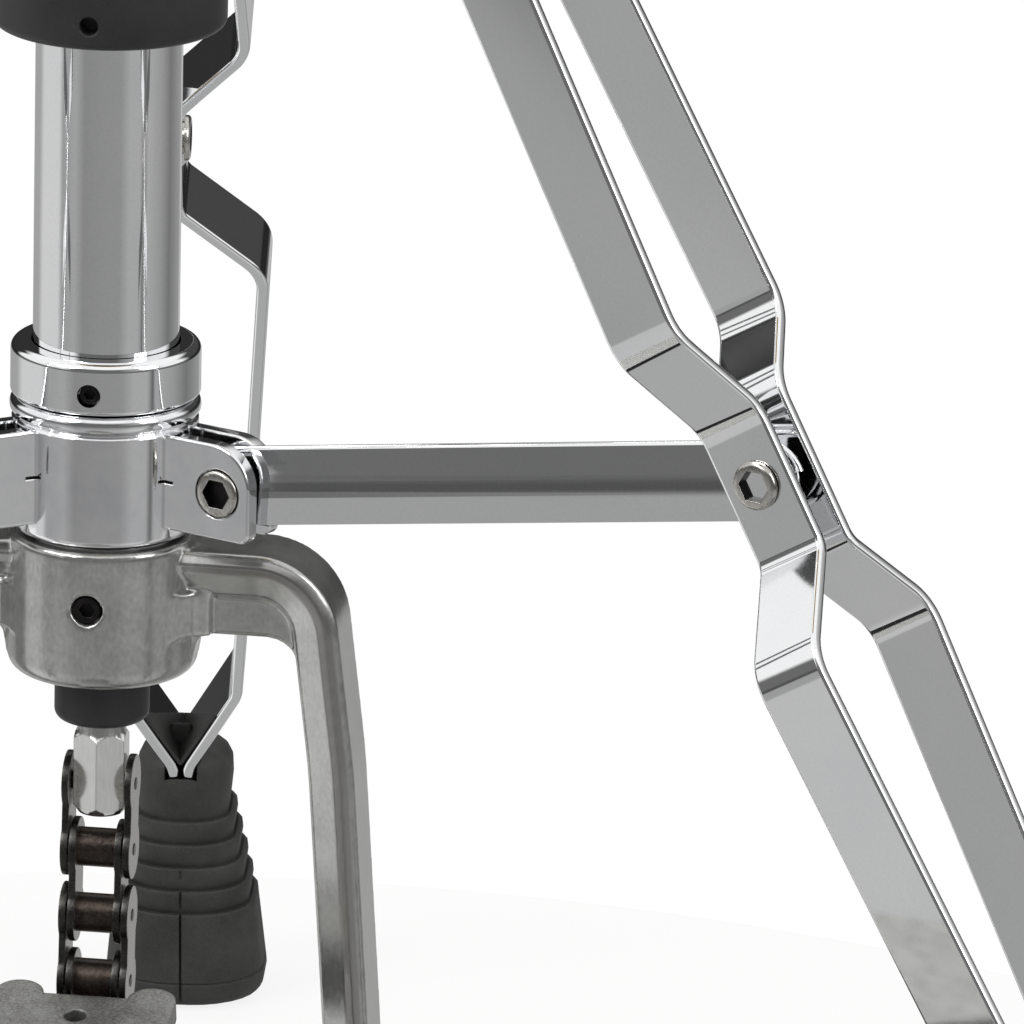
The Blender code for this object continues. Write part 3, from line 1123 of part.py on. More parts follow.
def make_clutch(parent):
    """The sleeve that holds the top cymbal between two felts, in a frame at the cymbal's hole."""
    bore = UPPER_ROD_DIAMETER / 2 + FIT
    neck = CLUTCH_SLEEVE_DIAMETER / 2
    head = CLUTCH_HEAD_DIAMETER / 2
    under = CLUTCH_SEAT
    top = under + CLUTCH_HEAD_HEIGHT
    felt = CLUTCH_FELT_DIAMETER / 2
    dome_drop = cymbal_height(CYMBAL_HOLE / 2) - cymbal_height(felt)
    felt_top = -CYMBAL_THICKNESS - dome_drop - FIT
    nut_top = felt_top - CLUTCH_FELT_THICKNESS - FIT
    end = nut_top - CLUTCH_NUT_HEIGHT - CLUTCH_SLEEVE_END
    profile = [(bore, top), (head - CLUTCH_CHAMFER, top), (head, top - CLUTCH_CHAMFER)]
    profile += [(head, under), (neck, under), (neck, end), (bore, end)]
    body = add_part("clutch_body", turned(profile), CHROME, parent)
    middle = shift(z=under + CLUTCH_HEAD_HEIGHT / 2)
    cut(body, moved(along_x(rod(SCREW_DIAMETER / 2 + FIT, 0.0, 2 * head)), middle))
    upper = sleeve(neck + FIT, felt, FIT, FIT + CLUTCH_FELT_THICKNESS, FACETS)
    add_part("clutch_upper_felt", upper, FELT, parent)
    lower = sleeve(neck + FIT, felt, felt_top - CLUTCH_FELT_THICKNESS, felt_top, FACETS)
    add_part("clutch_lower_felt", lower, FELT, parent)
    nut = sleeve(neck + FIT, CLUTCH_NUT_DIAMETER / 2, nut_top - CLUTCH_NUT_HEIGHT, nut_top, FACETS)
    add_part("clutch_nut", nut, CHROME, parent)
    return under + CLUTCH_HEAD_HEIGHT / 2


def main():
    clear_scene()
    stand = axis("stand", (0.0, 0.0, 0.0))
    make_base(stand)
    make_yoke(stand)
    make_tube(stand)
    make_stop_ring(stand)
    make_spring_seat(stand)
    clamp_height = make_tube_clamp(stand)
    clamp_screw = axis("clamp_screw_axis", (0.0, 0.0, clamp_height), parent=stand)
    make_wing_screw("tube_clamp_wing_bolt", UPPER_BORE, BOSS_REACH + FIT, clamp_screw)

    make_pedal(axis("pedal_axis", (0.0, -HEEL_AXIS_REACH, HEEL_AXIS_HEIGHT), tilt=BOARD_SLOPE))
    rods = axis("rod_axis", (0.0, 0.0, 0.0))
    make_rods(rods)
    make_spring(rods)
    make_chain(axis("chain_axis", (0.0, 0.0, CONNECTOR_PIN_HEIGHT), tilt=CHAIN_LEAN, parent=rods))
    make_dial(axis("dial_axis", (0.0, 0.0, DIAL_BASE)))

    swivel = axis("swivel_axis", (0.0, 0.0, COLLAR_BASE))
    make_strut_collar(swivel)
    slide = axis("leg_collar_axis", (0.0, 0.0, LEG_TOP_HEIGHT - COLLAR_BASE), parent=swivel)
    make_leg_collar(slide)
    lock = axis("leg_lock_axis", (0.0, 0.0, 0.0), turn=TRIPOD_TURN + WING_SCREW_TURN, parent=slide)
    make_wing_screw("leg_collar_wing_screw", SLEEVE_BORE, BOSS_REACH, lock)
    for name, turn in leg_turns():
        out = Vector((math.cos(turn), math.sin(turn), 0.0)) * LUG_RADIUS
        hinge = axis("strut_axis_" + name, out + Vector((0.0, 0.0, LUG_RISE)), turn=turn, parent=swivel)
        make_strut(name, hinge)
        make_leg(name, axis("leg_axis_" + name, out, turn=turn, parent=slide))

    upper = axis("upper_tube_axis", (0.0, 0.0, 0.0))
    make_upper_tube(upper)
    make_tilt_screw(axis("tilt_screw_axis", (tilt_screw_radius(), 0.0, CUP_BASE), parent=upper))
    make_bottom_cymbal(axis("bottom_cymbal_axis", (0.0, 0.0, BOTTOM_CYMBAL_BASE), parent=upper))
    clutch = axis("clutch_axis", (0.0, 0.0, TOP_CYMBAL_CREST), parent=rods)
    screw_height = make_clutch(clutch)
    make_top_cymbal(axis("top_cymbal_axis", (0.0, 0.0, 0.0), parent=clutch))
    screw = axis("clutch_screw_axis", (0.0, 0.0, screw_height), parent=clutch)
    screw_tip = UPPER_ROD_DIAMETER / 2 + FIT
    make_wing_screw("clutch_screw", screw_tip, CLUTCH_HEAD_DIAMETER / 2, screw, CLUTCH_SCREW_SIZE)


main()
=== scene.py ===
import math

import bmesh
import bpy
from mathutils import Matrix, Vector


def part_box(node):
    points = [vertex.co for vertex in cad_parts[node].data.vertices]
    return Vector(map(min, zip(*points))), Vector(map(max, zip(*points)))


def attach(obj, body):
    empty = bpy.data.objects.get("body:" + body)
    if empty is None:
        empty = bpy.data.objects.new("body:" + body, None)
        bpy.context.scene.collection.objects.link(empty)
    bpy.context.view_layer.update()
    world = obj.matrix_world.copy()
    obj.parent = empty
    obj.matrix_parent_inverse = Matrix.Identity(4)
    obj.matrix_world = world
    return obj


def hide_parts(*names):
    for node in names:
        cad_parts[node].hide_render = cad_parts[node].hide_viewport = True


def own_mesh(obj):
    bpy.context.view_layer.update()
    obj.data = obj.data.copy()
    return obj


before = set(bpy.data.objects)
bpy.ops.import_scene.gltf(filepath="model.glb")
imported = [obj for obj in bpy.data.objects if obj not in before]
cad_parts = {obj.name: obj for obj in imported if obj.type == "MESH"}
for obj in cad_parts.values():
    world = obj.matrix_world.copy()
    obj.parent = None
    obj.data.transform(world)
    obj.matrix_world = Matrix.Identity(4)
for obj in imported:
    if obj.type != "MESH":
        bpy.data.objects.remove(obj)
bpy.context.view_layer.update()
scene = bpy.context.scene
scene.view_settings.view_transform = "Standard"
mm = 0.001
print("frame loaded")


# Nodes and materials

def linear(code):
    parts = [int(code[i:i + 2], 16) / 255 for i in (1, 3, 5)]
    return [p / 12.92 if p <= 0.04045 else ((p + 0.055) / 1.055) ** 2.4 for p in parts] + [1.0]


def addNode(tree, kind, inputs=None, **settings):
    new = tree.nodes.new(kind)
    for key, value in settings.items():
        setattr(new, key, value)
    for key, value in (inputs or {}).items():
        if isinstance(value, bpy.types.NodeSocket):
            tree.links.new(value, new.inputs[key])
        else:
            new.inputs[key].default_value = value
    return new


def addRamp(tree, value, stops):
    ramp = addNode(tree, "ShaderNodeValToRGB", {"Fac": value})
    band = ramp.color_ramp
    while len(band.elements) < len(stops):
        band.elements.new(0.5)
    for element, (place, colour) in zip(band.elements, stops):
        element.position = place
        element.color = colour
    return ramp.outputs["Color"]


def finish(name, look):
    material = bpy.data.materials.new(name)
    material.use_nodes = True
    tree = material.node_tree
    shader = tree.nodes["Principled BSDF"]
    where = addNode(tree, "ShaderNodeTexCoord").outputs["Object"]
    drawn = addNode(tree, "ShaderNodeMapping", {"Vector": where, "Scale": look.get("stretch", (1, 1, 1))})
    grain = addNode(tree, "ShaderNodeTexNoise", {
        "Vector": drawn.outputs[0], "Scale": 1000 / look["grainMm"], "Detail": 4.0, "Roughness": 0.62})
    cloud = addNode(tree, "ShaderNodeTexNoise", {
        "Vector": where, "Scale": 1000 / look["cloudMm"], "Detail": 3.0, "Roughness": 0.55})
    mixed = addNode(tree, "ShaderNodeMix", {
        0: look.get("cloudShare", 0.5), 2: grain.outputs["Fac"], 3: cloud.outputs["Fac"]}, data_type="FLOAT")
    tone = mixed.outputs[0]
    stops = [(0.36, linear(look["dark"])), (0.64, linear(look["colour"]))]
    paint = addRamp(tree, tone, stops)
    # Painted shade: a darker colour mixed in where the object's |x| and |y| pass the given bounds
    if "groove" in look:
        parts = addNode(tree, "ShaderNodeSeparateXYZ", {"Vector": where}).outputs
        shadeMask = 1.0
        for side, (start, end) in (("X", look["groove"]["out"]), ("Y", look["groove"]["deep"])):
            far = addNode(tree, "ShaderNodeMath", {0: parts[side]}, operation="ABSOLUTE").outputs[0]
            part = addNode(tree, "ShaderNodeMapRange",
                           {"Value": far, "From Min": start * mm, "From Max": end * mm})
            shadeMask = addNode(tree, "ShaderNodeMath", {0: part.outputs[0], 1: shadeMask},
                           operation="MULTIPLY").outputs[0]
        paint = addNode(tree, "ShaderNodeMix", {0: shadeMask, 6: paint, 7: linear(look["groove"]["colour"])},
                        data_type="RGBA").outputs[2]
    tree.links.new(paint, shader.inputs["Base Color"])
    rough = addNode(tree, "ShaderNodeMapRange", {"Value": tone, "From Min": 0.3, "From Max": 0.7,
                                                 "To Min": look["rough"][0], "To Max": look["rough"][1]})
    tree.links.new(rough.outputs[0], shader.inputs["Roughness"])
    height = grain.outputs["Fac"]
    if "latheMm" in look:
        flat = addNode(tree, "ShaderNodeVectorMath", {0: where, 1: (1.0, 1.0, 0.0)}, operation="MULTIPLY")
        out = addNode(tree, "ShaderNodeVectorMath", {0: flat.outputs[0]}, operation="LENGTH")
        turns = addNode(tree, "ShaderNodeMath", {
            0: out.outputs["Value"], 1: 2000 * math.pi / look["latheMm"]}, operation="MULTIPLY")
        wave = addNode(tree, "ShaderNodeMath", {0: turns.outputs[0]}, operation="SINE")
        height = addNode(tree, "ShaderNodeMath", {0: wave.outputs[0], 1: height}, operation="ADD").outputs[0]
    relief = {"Height": height, "Strength": look["bump"], "Distance": look["bumpMm"] * mm}
    if "edgeMm" in look:
        worn = addNode(tree, "ShaderNodeBevel", {"Radius": look["edgeMm"] * mm}, samples=4)
        relief["Normal"] = worn.outputs[0]
    bump = addNode(tree, "ShaderNodeBump", relief)
    tree.links.new(bump.outputs[0], shader.inputs["Normal"])
    shader.inputs["Metallic"].default_value = look["metallic"]
    shader.inputs["Specular IOR Level"].default_value = look.get("specular", 0.5)
    return material


# Polished plate: a mirror with crisp edges to what it reflects
chrome = finish("chromePlate", {
    "colour": "#f8f8f9", "dark": "#f0f1f2", "metallic": 1.0, "rough": (0.03, 0.06), "grainMm": 0.6,
    "cloudMm": 30, "bump": 0.02, "bumpMm": 0.02})
# Plate over a casting: a mirror that wavers a little
castChrome = finish("chromedCasting", {
    "colour": "#f6f6f7", "dark": "#ebecee", "metallic": 1.0, "rough": (0.05, 0.10), "grainMm": 4.0,
    "cloudMm": 14, "bump": 0.05, "bumpMm": 0.06, "edgeMm": 0.4})
# Blasted casting: a dull silver with a faint mottle, and painted shade: a darker grey laid on the front and
# back faces of the arms
castMetal = finish("blastedCastAluminium", {
    "colour": "#cacac8", "dark": "#acacaa", "metallic": 0.87, "rough": (0.15, 0.26), "grainMm": 0.8,
    "cloudMm": 9, "bump": 0.16, "bumpMm": 0.06, "cloudShare": 0.5, "stretch": (1, 1, 0.6),
    "groove": {"colour": "#a09f9c", "out": (19.0, 23.0), "deep": (7.95, 8.3)}})
# Sand casting: a speckled grey, coarser than the blasted one
footMetal = finish("sandCastAluminium", {
    "colour": "#b0b0ad", "dark": "#757471", "metallic": 0.88, "rough": (0.38, 0.52), "grainMm": 0.5,
    "cloudMm": 5, "bump": 0.45, "bumpMm": 0.12, "edgeMm": 0.8, "cloudShare": 0.35})
# Satin plate on turned bar: soft highlights drawn out along the bar
satinSteel = finish("satinPlatedSteel", {
    "colour": "#f6f6f4", "dark": "#e6e6e3", "metallic": 1.0, "rough": (0.15, 0.24), "grainMm": 0.5,
    "cloudMm": 9, "bump": 0.10, "bumpMm": 0.03, "edgeMm": 0.4, "stretch": (1, 1, 0.15)})
# Nickel plate on bolt heads: warm grey with a blurred shine
boltSteel = finish("nickelPlatedBolt", {
    "colour": "#d6d4cf", "dark": "#b3b0aa", "metallic": 1.0, "rough": (0.16, 0.26), "grainMm": 0.4,
    "cloudMm": 3, "bump": 0.12, "bumpMm": 0.04, "edgeMm": 0.3})
# Oil-hardened edges of the chain plates: near black, with a greasy shine
chainSteel = finish("oiledChainSteel", {
    "colour": "#5c5b58", "dark": "#383735", "metallic": 1.0, "rough": (0.26, 0.40), "grainMm": 0.5,
    "cloudMm": 4, "bump": 0.18, "bumpMm": 0.05, "edgeMm": 0.3})
# Ground flats of the chain plates: clean grey steel
plateSteel = finish("groundChainPlate", {
    "colour": "#cfcdc9", "dark": "#a9a7a3", "metallic": 1.0, "rough": (0.22, 0.34), "grainMm": 0.5,
    "cloudMm": 4, "bump": 0.12, "bumpMm": 0.04})
# Blued rollers: dark brown metal
rollerSteel = finish("bluedRollerSteel", {
    "colour": "#5a5049", "dark": "#2a2523", "metallic": 0.85, "rough": (0.25, 0.40), "grainMm": 0.6,
    "cloudMm": 5, "bump": 0.10, "bumpMm": 0.03, "edgeMm": 0.2})
# Moulded plastic: flat black with a faint grain
blackPlastic = finish("blackMouldedPlastic", {
    "colour": "#29292a", "dark": "#1b1b1c", "metallic": 0.0, "rough": (0.40, 0.52), "grainMm": 0.35,
    "cloudMm": 12, "bump": 0.14, "bumpMm": 0.04, "edgeMm": 0.8})
# Moulded rubber: charcoal, almost without shine
rubber = finish("mouldedRubber", {
    "colour": "#3a3a39", "dark": "#262625", "metallic": 0.0, "rough": (0.55, 0.72), "grainMm": 0.4,
    "cloudMm": 9, "bump": 0.25, "bumpMm": 0.06, "edgeMm": 0.6, "specular": 0.4})
# Black oxide on the set screws: dark metal that catches small glints; the same near-black material is painted
# shade inside the bolt sockets and the collar slits
blackOxideAndShade = finish("blackOxideAndRecessShade", {
    "colour": "#1d1a19", "dark": "#0e0c0c", "metallic": 0.6, "rough": (0.28, 0.42), "grainMm": 0.3,
    "cloudMm": 2, "bump": 0.12, "bumpMm": 0.03})
# Powder coat: black with an orange-peel surface
blackPaint = finish("blackPowderCoat", {
    "colour": "#2e2e30", "dark": "#222224", "metallic": 0.0, "rough": (0.40, 0.52), "grainMm": 0.5,
    "cloudMm": 20, "bump": 0.20, "bumpMm": 0.05, "edgeMm": 0.6})
# Lathed bronze: gold with rings, drawn at 1.6 mm where real tool marks are under 1 mm
bronze = finish("lathedCymbalBronze", {
    "colour": "#d9b45e", "dark": "#c9a24e", "metallic": 1.0, "rough": (0.22, 0.34), "grainMm": 0.8,
    "cloudMm": 60, "bump": 0.35, "bumpMm": 0.05, "latheMm": 1.6, "cloudShare": 0.3})
# Pressed wool: matt grey with short fibres
felt = finish("pressedWoolFelt", {
    "colour": "#8f8b84", "dark": "#6a665f", "metallic": 0.0, "rough": (0.90, 0.98), "grainMm": 0.7,
    "cloudMm": 6, "bump": 0.8, "bumpMm": 0.3, "specular": 0.15})
print("materials made")


# Shapes, in millimetres

def shift(x=0.0, y=0.0, z=0.0):
    return Matrix.Translation((x, y, z))


def turnAbout(axis, angle):
    return Matrix.Rotation(angle, 4, axis)


def placed(shape, *matrices):
    for matrix in matrices:
        bmesh.ops.transform(shape, matrix=matrix, verts=shape.verts)
    return shape


def alongX(shape):
    return placed(shape, turnAbout("Y", math.pi / 2))


def alongY(shape):
    return placed(shape, turnAbout("X", -math.pi / 2))


def upright(shape):
    return placed(shape, turnAbout("X", math.pi / 2))


def circle(radius, facets, phase=0.0):
    steps = [phase + 2 * math.pi * i / facets for i in range(facets)]
    return [(radius * math.cos(step), radius * math.sin(step)) for step in steps]


def turned(profile, facets=112):
    shape = bmesh.new()
    rows = []
    for radius, height in profile:
        around = circle(radius, facets) if radius > 0 else [(0.0, 0.0)]
        rows.append([shape.verts.new((x, y, height)) for x, y in around])
    following = rows[1:] + rows[:1] if all(len(row) > 1 for row in rows) else rows[1:]
    for row, other in zip(rows, following):
        for i in range(facets):
            j = i + 1
            corners = (row[i % len(row)], row[j % len(row)], other[j % len(other)], other[i % len(other)])
            face = list(dict.fromkeys(corners))
            if len(face) > 2:
                shape.faces.new(face)
    return shape


def loft(sections):
    shape = bmesh.new()
    rows = [[shape.verts.new(point) for point in section] for section in sections]
    for row, other in zip(rows, rows[1:]):
        for i in range(len(row)):
            j = (i + 1) % len(row)
            shape.faces.new((row[i], row[j], other[j], other[i]))
    shape.faces.new(rows[0])
    shape.faces.new(rows[-1])
    return shape


def prism(outline, low, high):
    return loft([[(p[0], p[1], z) for p in outline] for z in (low, high)])


def rod(radius, low, high, facets=48, phase=0.0):
    return prism(circle(radius, facets, phase), low, high)


def pipe(bore, radius, low, high, facets=112):
    return turned([(bore, low), (radius, low), (radius, high), (bore, high)], facets)


def rounded(points, radius, steps=8, closed=False):
    count = len(points)
    path = []
    for i, corner in enumerate(points):
        here = Vector(corner)
        size = radius[i] if isinstance(radius, (list, tuple)) else radius
        if size == 0 or (not closed and i in (0, count - 1)):
            path.append(here)
            continue
        back = (Vector(points[i - 1]) - here).normalized()
        ahead = (Vector(points[(i + 1) % count]) - here).normalized()
        half = back.angle(ahead) / 2
        reach = size / math.tan(half)
        centre = here + (back + ahead).normalized() * size / math.sin(half)
        start = here + back * reach - centre
        sweep = start.angle_signed(here + ahead * reach - centre)
        for step in range(steps + 1):
            path.append(centre + Matrix.Rotation(-sweep * step / steps, 2) @ start)
    return path


def softened(shape, width, steps=2, least=30):
    bmesh.ops.recalc_face_normals(shape, faces=shape.faces)
    sharp = [e for e in shape.edges if len(e.link_faces) == 2 and e.calc_face_angle() > math.radians(least)]
    bmesh.ops.bevel(shape, geom=sharp, offset=width, segments=steps, profile=0.5, affect="EDGES",
                    clamp_overlap=True)
    return shape


def gathered(*shapes):
    whole = bmesh.new()
    for shape in shapes:
        scrap = bpy.data.meshes.new("scrap")
        shape.to_mesh(scrap)
        shape.free()
        whole.from_mesh(scrap)
        bpy.data.meshes.remove(scrap)
    return whole


def solidObject(shape):
    bmesh.ops.recalc_face_normals(shape, faces=shape.faces)
    mesh = bpy.data.meshes.new("scrap")
    shape.to_mesh(mesh)
    shape.free()
    holder = bpy.data.objects.new("scrap", mesh)
    scene.collection.objects.link(holder)
    return holder


def evaluated(holder, others=()):
    graph = bpy.context.evaluated_depsgraph_get()
    graph.update()
    done = bpy.data.meshes.new_from_object(holder.evaluated_get(graph))
    shape = bmesh.new()
    shape.from_mesh(done)
    for old in (holder, *others):
        mesh = old.data
        bpy.data.objects.remove(old)
        bpy.data.meshes.remove(mesh)
    bpy.data.meshes.remove(done)
    return shape


def worked(shape, joined=(), cuts=(), within=()):
    holder = solidObject(shape)
    others = []
    for operation, extras in (("INTERSECT", within), ("UNION", joined), ("DIFFERENCE", cuts)):
        for extra in extras:
            other = solidObject(extra)
            other.hide_render = True
            others.append(other)
            step = holder.modifiers.new("work", "BOOLEAN")
            step.operation = operation
            step.solver = "EXACT"
            step.object = other
    return evaluated(holder, others)


def castForm(shape, voxel, passes):
    holder = solidObject(shape)
    grid = holder.modifiers.new("grid", "REMESH")
    grid.mode = "VOXEL"
    grid.voxel_size = voxel
    ease = holder.modifiers.new("ease", "SMOOTH")
    ease.factor = 0.5
    ease.iterations = passes
    return evaluated(holder)


def addPiece(name, shape, material, body, nodes=(), smooth=38):
    bmesh.ops.recalc_face_normals(shape, faces=shape.faces)
    placed(shape, Matrix.Scale(mm, 4))
    mesh = bpy.data.meshes.new(name)
    shape.to_mesh(mesh)
    shape.free()
    mesh.shade_smooth()
    mesh.set_sharp_from_angle(angle=math.radians(smooth))
    for each in material if isinstance(material, tuple) else (material,):
        mesh.materials.append(each)
    piece = bpy.data.objects.new(name, mesh)
    scene.collection.objects.link(piece)
    flat = piece.modifiers.new("flatFaces", "WEIGHTED_NORMAL")
    flat.keep_sharp = True
    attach(piece, body)
    if nodes:
        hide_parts(*nodes)
    return piece


# Sizes shared by several pieces

fit = 0.3
tube = {"radius": 13.6, "bore": 11.6, "base": 155.5, "top": 589.5}
sleeveBore = tube["radius"] + fit
hub = {"base": 152.0, "top": 179.0, "radius": 17.8, "screwHeight": 168.0, "hole": 2.9, "mouth": 7.3,
       "floor": 3.2, "round": 3.2}
collar = {"base": 179.7, "top": 205.3, "radius": 17.4, "lip": 17.8, "lipHeight": 3.6}
lug = {"radius": 29.3, "height": 192.6, "reach": 35.5, "gap": 2.2, "face": 5.3, "low": 183.0, "high": 201.2,
       "boltRadius": 28.6, "boltHeight": 191.9, "edge": 0.55, "root": 12.0, "footRound": 2.0, "topRound": 8.0}
leg = {"angle": math.radians(30.92), "upper": 223.84, "lower": 205.0}
strut = {"angle": math.radians(10.75), "height": 14.6, "width": 3.8, "taper": 0.0065, "crown": 13.6,
         "wall": 1.2, "bore": 2.8}
strut["length"] = leg["upper"] * math.sin(leg["angle"]) / math.cos(strut["angle"])
rise = strut["length"] * math.sin(strut["angle"])
leg["topHeight"] = lug["height"] + rise + leg["upper"] * math.cos(leg["angle"])
strip = {"width": 14.6, "thick": 2.4, "gap": 0.7, "lugWidth": 13.0, "edge": 0.75,
         "bends": (0, 10, 10, 5, 10, 10, 10, 0), "below": 31.8, "belowSpread": 21.2,
         "mouth": 158.0, "mouthSpread": 13.2, "grip": 181.0, "bore": 2.8,
         "a": {"start": 30.5, "spread": 18.9, "end": 12.8, "gape": 0.0, "leave": 14.5},
         "b": {"start": 28.0, "spread": 17.7, "end": 15.4, "gape": 1.8, "leave": 15.8}}
legTurns = {name: math.radians(-23.84 + 120 * i) for i, name in enumerate(("right", "back", "left"))}


def hexSocket(flats, low, high):
    return rod(flats / 2 / math.cos(math.pi / 6), low, high, 6)


def socketBolt(shank, head, start, under, end, flats):
    rim = 0.6
    profile = [(0.0, start), (head - rim, start), (head - rim / 3, start + rim / 3), (head, start + rim)]
    profile += [(head, under), (shank, under), (shank, end), (0.0, end)]
    bolt = worked(turned(profile, 64), cuts=[hexSocket(flats, start - 1, start + 1.9)])
    # Painted shade: the faces inside the hex socket take the second, near-black material
    for face in bolt.faces:
        middle = face.calc_center_median()
        if middle.z > start + 0.02 and middle.xy.length < flats / 2 + 0.02:
            face.material_index = 1
    return alongY(bolt)


def setScrew(screw, height):
    form = worked(rod(screw["radius"], 0.0, screw["length"]),
                  cuts=[hexSocket(screw["flats"], -1, screw["socket"])])
    return softened(placed(alongY(form), shift(y=screw["face"], z=height)), screw["edge"])


# Tube, dial and stop ring

addPiece("lowerTube", pipe(tube["bore"], tube["radius"], tube["base"], tube["top"], 160), chrome, "stand",
         ["lower_tube"])

dial = {"base": 276.2, "height": 34.0, "radius": 21.7, "round": 1.6, "holeHeight": 281.0, "hole": 1.75,
        "holeDepth": 4.0, "recess": 16.5, "rim": 6.0}
low, high = dial["base"], dial["base"] + dial["height"]
outer = rounded([(sleeveBore, low), (dial["radius"], low), (dial["radius"], high), (sleeveBore, high)],
                dial["round"])
recess, rim = dial["recess"], dial["rim"]
inner = [(sleeveBore, high - rim), (recess, high - rim), (recess, low + rim), (sleeveBore, low + rim)]
shape = turned([tuple(p) for p in outer] + inner)
hole = placed(alongY(rod(dial["hole"], -30, dial["holeDepth"] - dial["radius"])), shift(z=dial["holeHeight"]))
addPiece("tensionDial", worked(shape, cuts=[hole]), blackPlastic, "dial", ["tension_dial"])

ring = {"base": 205.6, "top": 215.6, "radius": 17.7, "screwHeight": 209.5, "hole": 2.2, "topRound": 1.7,
        "footRound": 0.8}
ringScrew = {"radius": 1.9, "length": 2.6, "flats": 2.0, "socket": 1.4, "face": -16.5, "edge": 0.15}
low, high = ring["base"], ring["top"]
edge = rounded([(sleeveBore, high), (ring["radius"], high), (ring["radius"], low), (sleeveBore, low)],
               (0, ring["topRound"], ring["footRound"], 0))
profile = [tuple(p) for p in edge]
hole = placed(alongY(rod(ring["hole"], -30, 0)), shift(z=ring["screwHeight"]))
addPiece("stopRing", worked(turned(profile), cuts=[hole]), chrome, "stand", ["stop_ring"])
addPiece("stopRingScrew", setScrew(ringScrew, ring["screwHeight"]), blackOxideAndShade, "stand", ["stop_ring_screw"])
print("tube, dial and ring made")


# Strut collar with its lugs and bolts

def earOutline(inset):
    root, low, high, end = lug["root"], lug["low"] + inset, lug["high"] - inset, lug["reach"] - inset
    rounds = (0, lug["footRound"] - inset, lug["topRound"] - inset, 0)
    return rounded([(root, low), (end, low), (end, high), (root, high)], rounds, 14, closed=True)


def earForm(side):
    gap, face, edge = lug["gap"], lug["face"], lug["edge"]
    steps = [(gap, edge / 2), (gap + edge / 2, 0.0)]
    for step in range(4):
        angle = step * math.pi / 6
        steps.append((face - edge * (1 - math.sin(angle)), edge * (1 - math.cos(angle))))
    return loft([[(p.x, side * y, p.y) for p in earOutline(inset)] for y, inset in steps])


fillet = {"start": 20.5, "bend": 16.2, "end": 14.6, "rise": 3.0, "round": 2.4, "low": 0.3, "high": 0.5}


def earRoot(side):
    face, start, rise = lug["face"], fillet["start"], fillet["rise"]
    bend = [(start, face - 0.05), (fillet["bend"], face - 0.05), (fillet["end"], face + rise)]
    curve = [tuple(p) for p in rounded(bend, fillet["round"], 8)]
    plan = [(lug["root"], face - 1.0), (start, face - 1.0)] + curve + [(lug["root"], face + rise)]
    return prism([(x, side * y) for x, y in plan], lug["low"] + fillet["low"], lug["high"] - fillet["high"])


low, high = collar["base"], collar["top"]
radius, lip = collar["radius"], collar["lip"]
edge = high - collar["lipHeight"]
bead = rounded([(sleeveBore, high), (lip, high), (lip, edge), (radius - 0.5, edge)], (0, 1.7, 1.5, 0))
profile = [tuple(p) for p in bead] + [(radius - 0.5, edge - 0.3), (radius, edge - 0.8), (radius, low + 1.4)]
profile += [(radius - 0.3, low + 0.6), (radius - 1.2, low), (sleeveBore, low)]
slit = {"low": 191.9, "high": 192.5, "inner": 16.2, "outer": 18.8, "near": 5.0, "far": 7.6}
lugBolt = {"shank": 2.5, "head": 4.5, "proud": 0.5, "sunk": 1.7, "flats": 5.2, "bore": 2.8, "seat": 4.8,
           "seatDepth": 2.0}
boltPlace = shift(x=lug["boltRadius"], z=lug["boltHeight"])
face = lug["face"]
ears = []
cuts = []
for turn in legTurns.values():
    around = turnAbout("Z", turn)
    for side in (-1, 1):
        ears.append(placed(earForm(side), around))
        ears.append(placed(earRoot(side), around))
        plan = [(slit["inner"], slit["near"]), (slit["outer"], slit["near"]), (slit["outer"], slit["far"]),
                (slit["inner"], slit["far"])]
        cut = prism(plan, slit["low"], slit["high"])
        cuts.append(placed(cut, Matrix.Diagonal((1, side, 1, 1)), around))
    cuts.append(placed(alongY(rod(lugBolt["seat"], -20, lugBolt["seatDepth"] - face)), boltPlace, around))
    cuts.append(placed(alongY(rod(lugBolt["bore"], -20, 20)), boltPlace, around))
body = worked(turned(profile), ears, cuts)
# Painted shade: the faces inside the slits take the near-black second material
for patch in body.faces:
    heights = [corner.co.z for corner in patch.verts]
    patch.material_index = slit["low"] - 0.01 < min(heights) and max(heights) < slit["high"] + 0.01
addPiece("strutCollar", body, (castChrome, blackOxideAndShade), "swivel", ["strut_collar"])
for name, turn in legTurns.items():
    bolt = socketBolt(lugBolt["shank"], lugBolt["head"], -face - lugBolt["proud"], lugBolt["sunk"] - face,
                      face, lugBolt["flats"])
    addPiece("lugBolt_" + name, placed(bolt, boltPlace, turnAbout("Z", turn)), (boltSteel, blackOxideAndShade),
             "swivel", ["lug_bolt_" + name])
print("strut collar made")


# Yoke with its screw, and the guide bush

arm = {"level": 172.95, "half": 4.55, "deep": 8.5, "inner": 5.2, "knee": (39.8, 172.95), "hip": (44.4, 136.0),
       "shin": (47.9, 85.6), "foot": (52.6, 6.8), "web": 160.7, "panel": 4.0, "root": 15.6, "kneeRound": 11.5,
       "legRound": 150.0}


def armPath():
    corners = [(arm["root"], arm["level"]), arm["knee"], arm["hip"], arm["shin"], arm["foot"]]
    return rounded(corners, (0, arm["kneeRound"], arm["legRound"], arm["legRound"], 0), 20)


def armForm(side):
    half, deep, inner = arm["half"], arm["deep"], arm["inner"]
    section = [(-half, 0.8 - inner), (0.5 - half, -inner), (0.8, 0.25 - deep), (1.1, -deep), (2.1, -deep),
               (2.2, -deep - 0.3), (2.4, -deep - 0.3), (half - 0.2, 0.9 - deep), (half, 1.3 - deep)]
    section += [(across, -depth) for across, depth in reversed(section)]
    path = armPath()
    rings = []
    for i, point in enumerate(path):
        ahead = (path[min(i + 1, len(path) - 1)] - path[max(i - 1, 0)]).normalized()
        outward = Vector((-ahead.y, ahead.x))
        spots = [(point + outward * across, depth) for across, depth in section]
        rings.append([(side * p.x, depth, p.y) for p, depth in spots])
    return loft(rings)


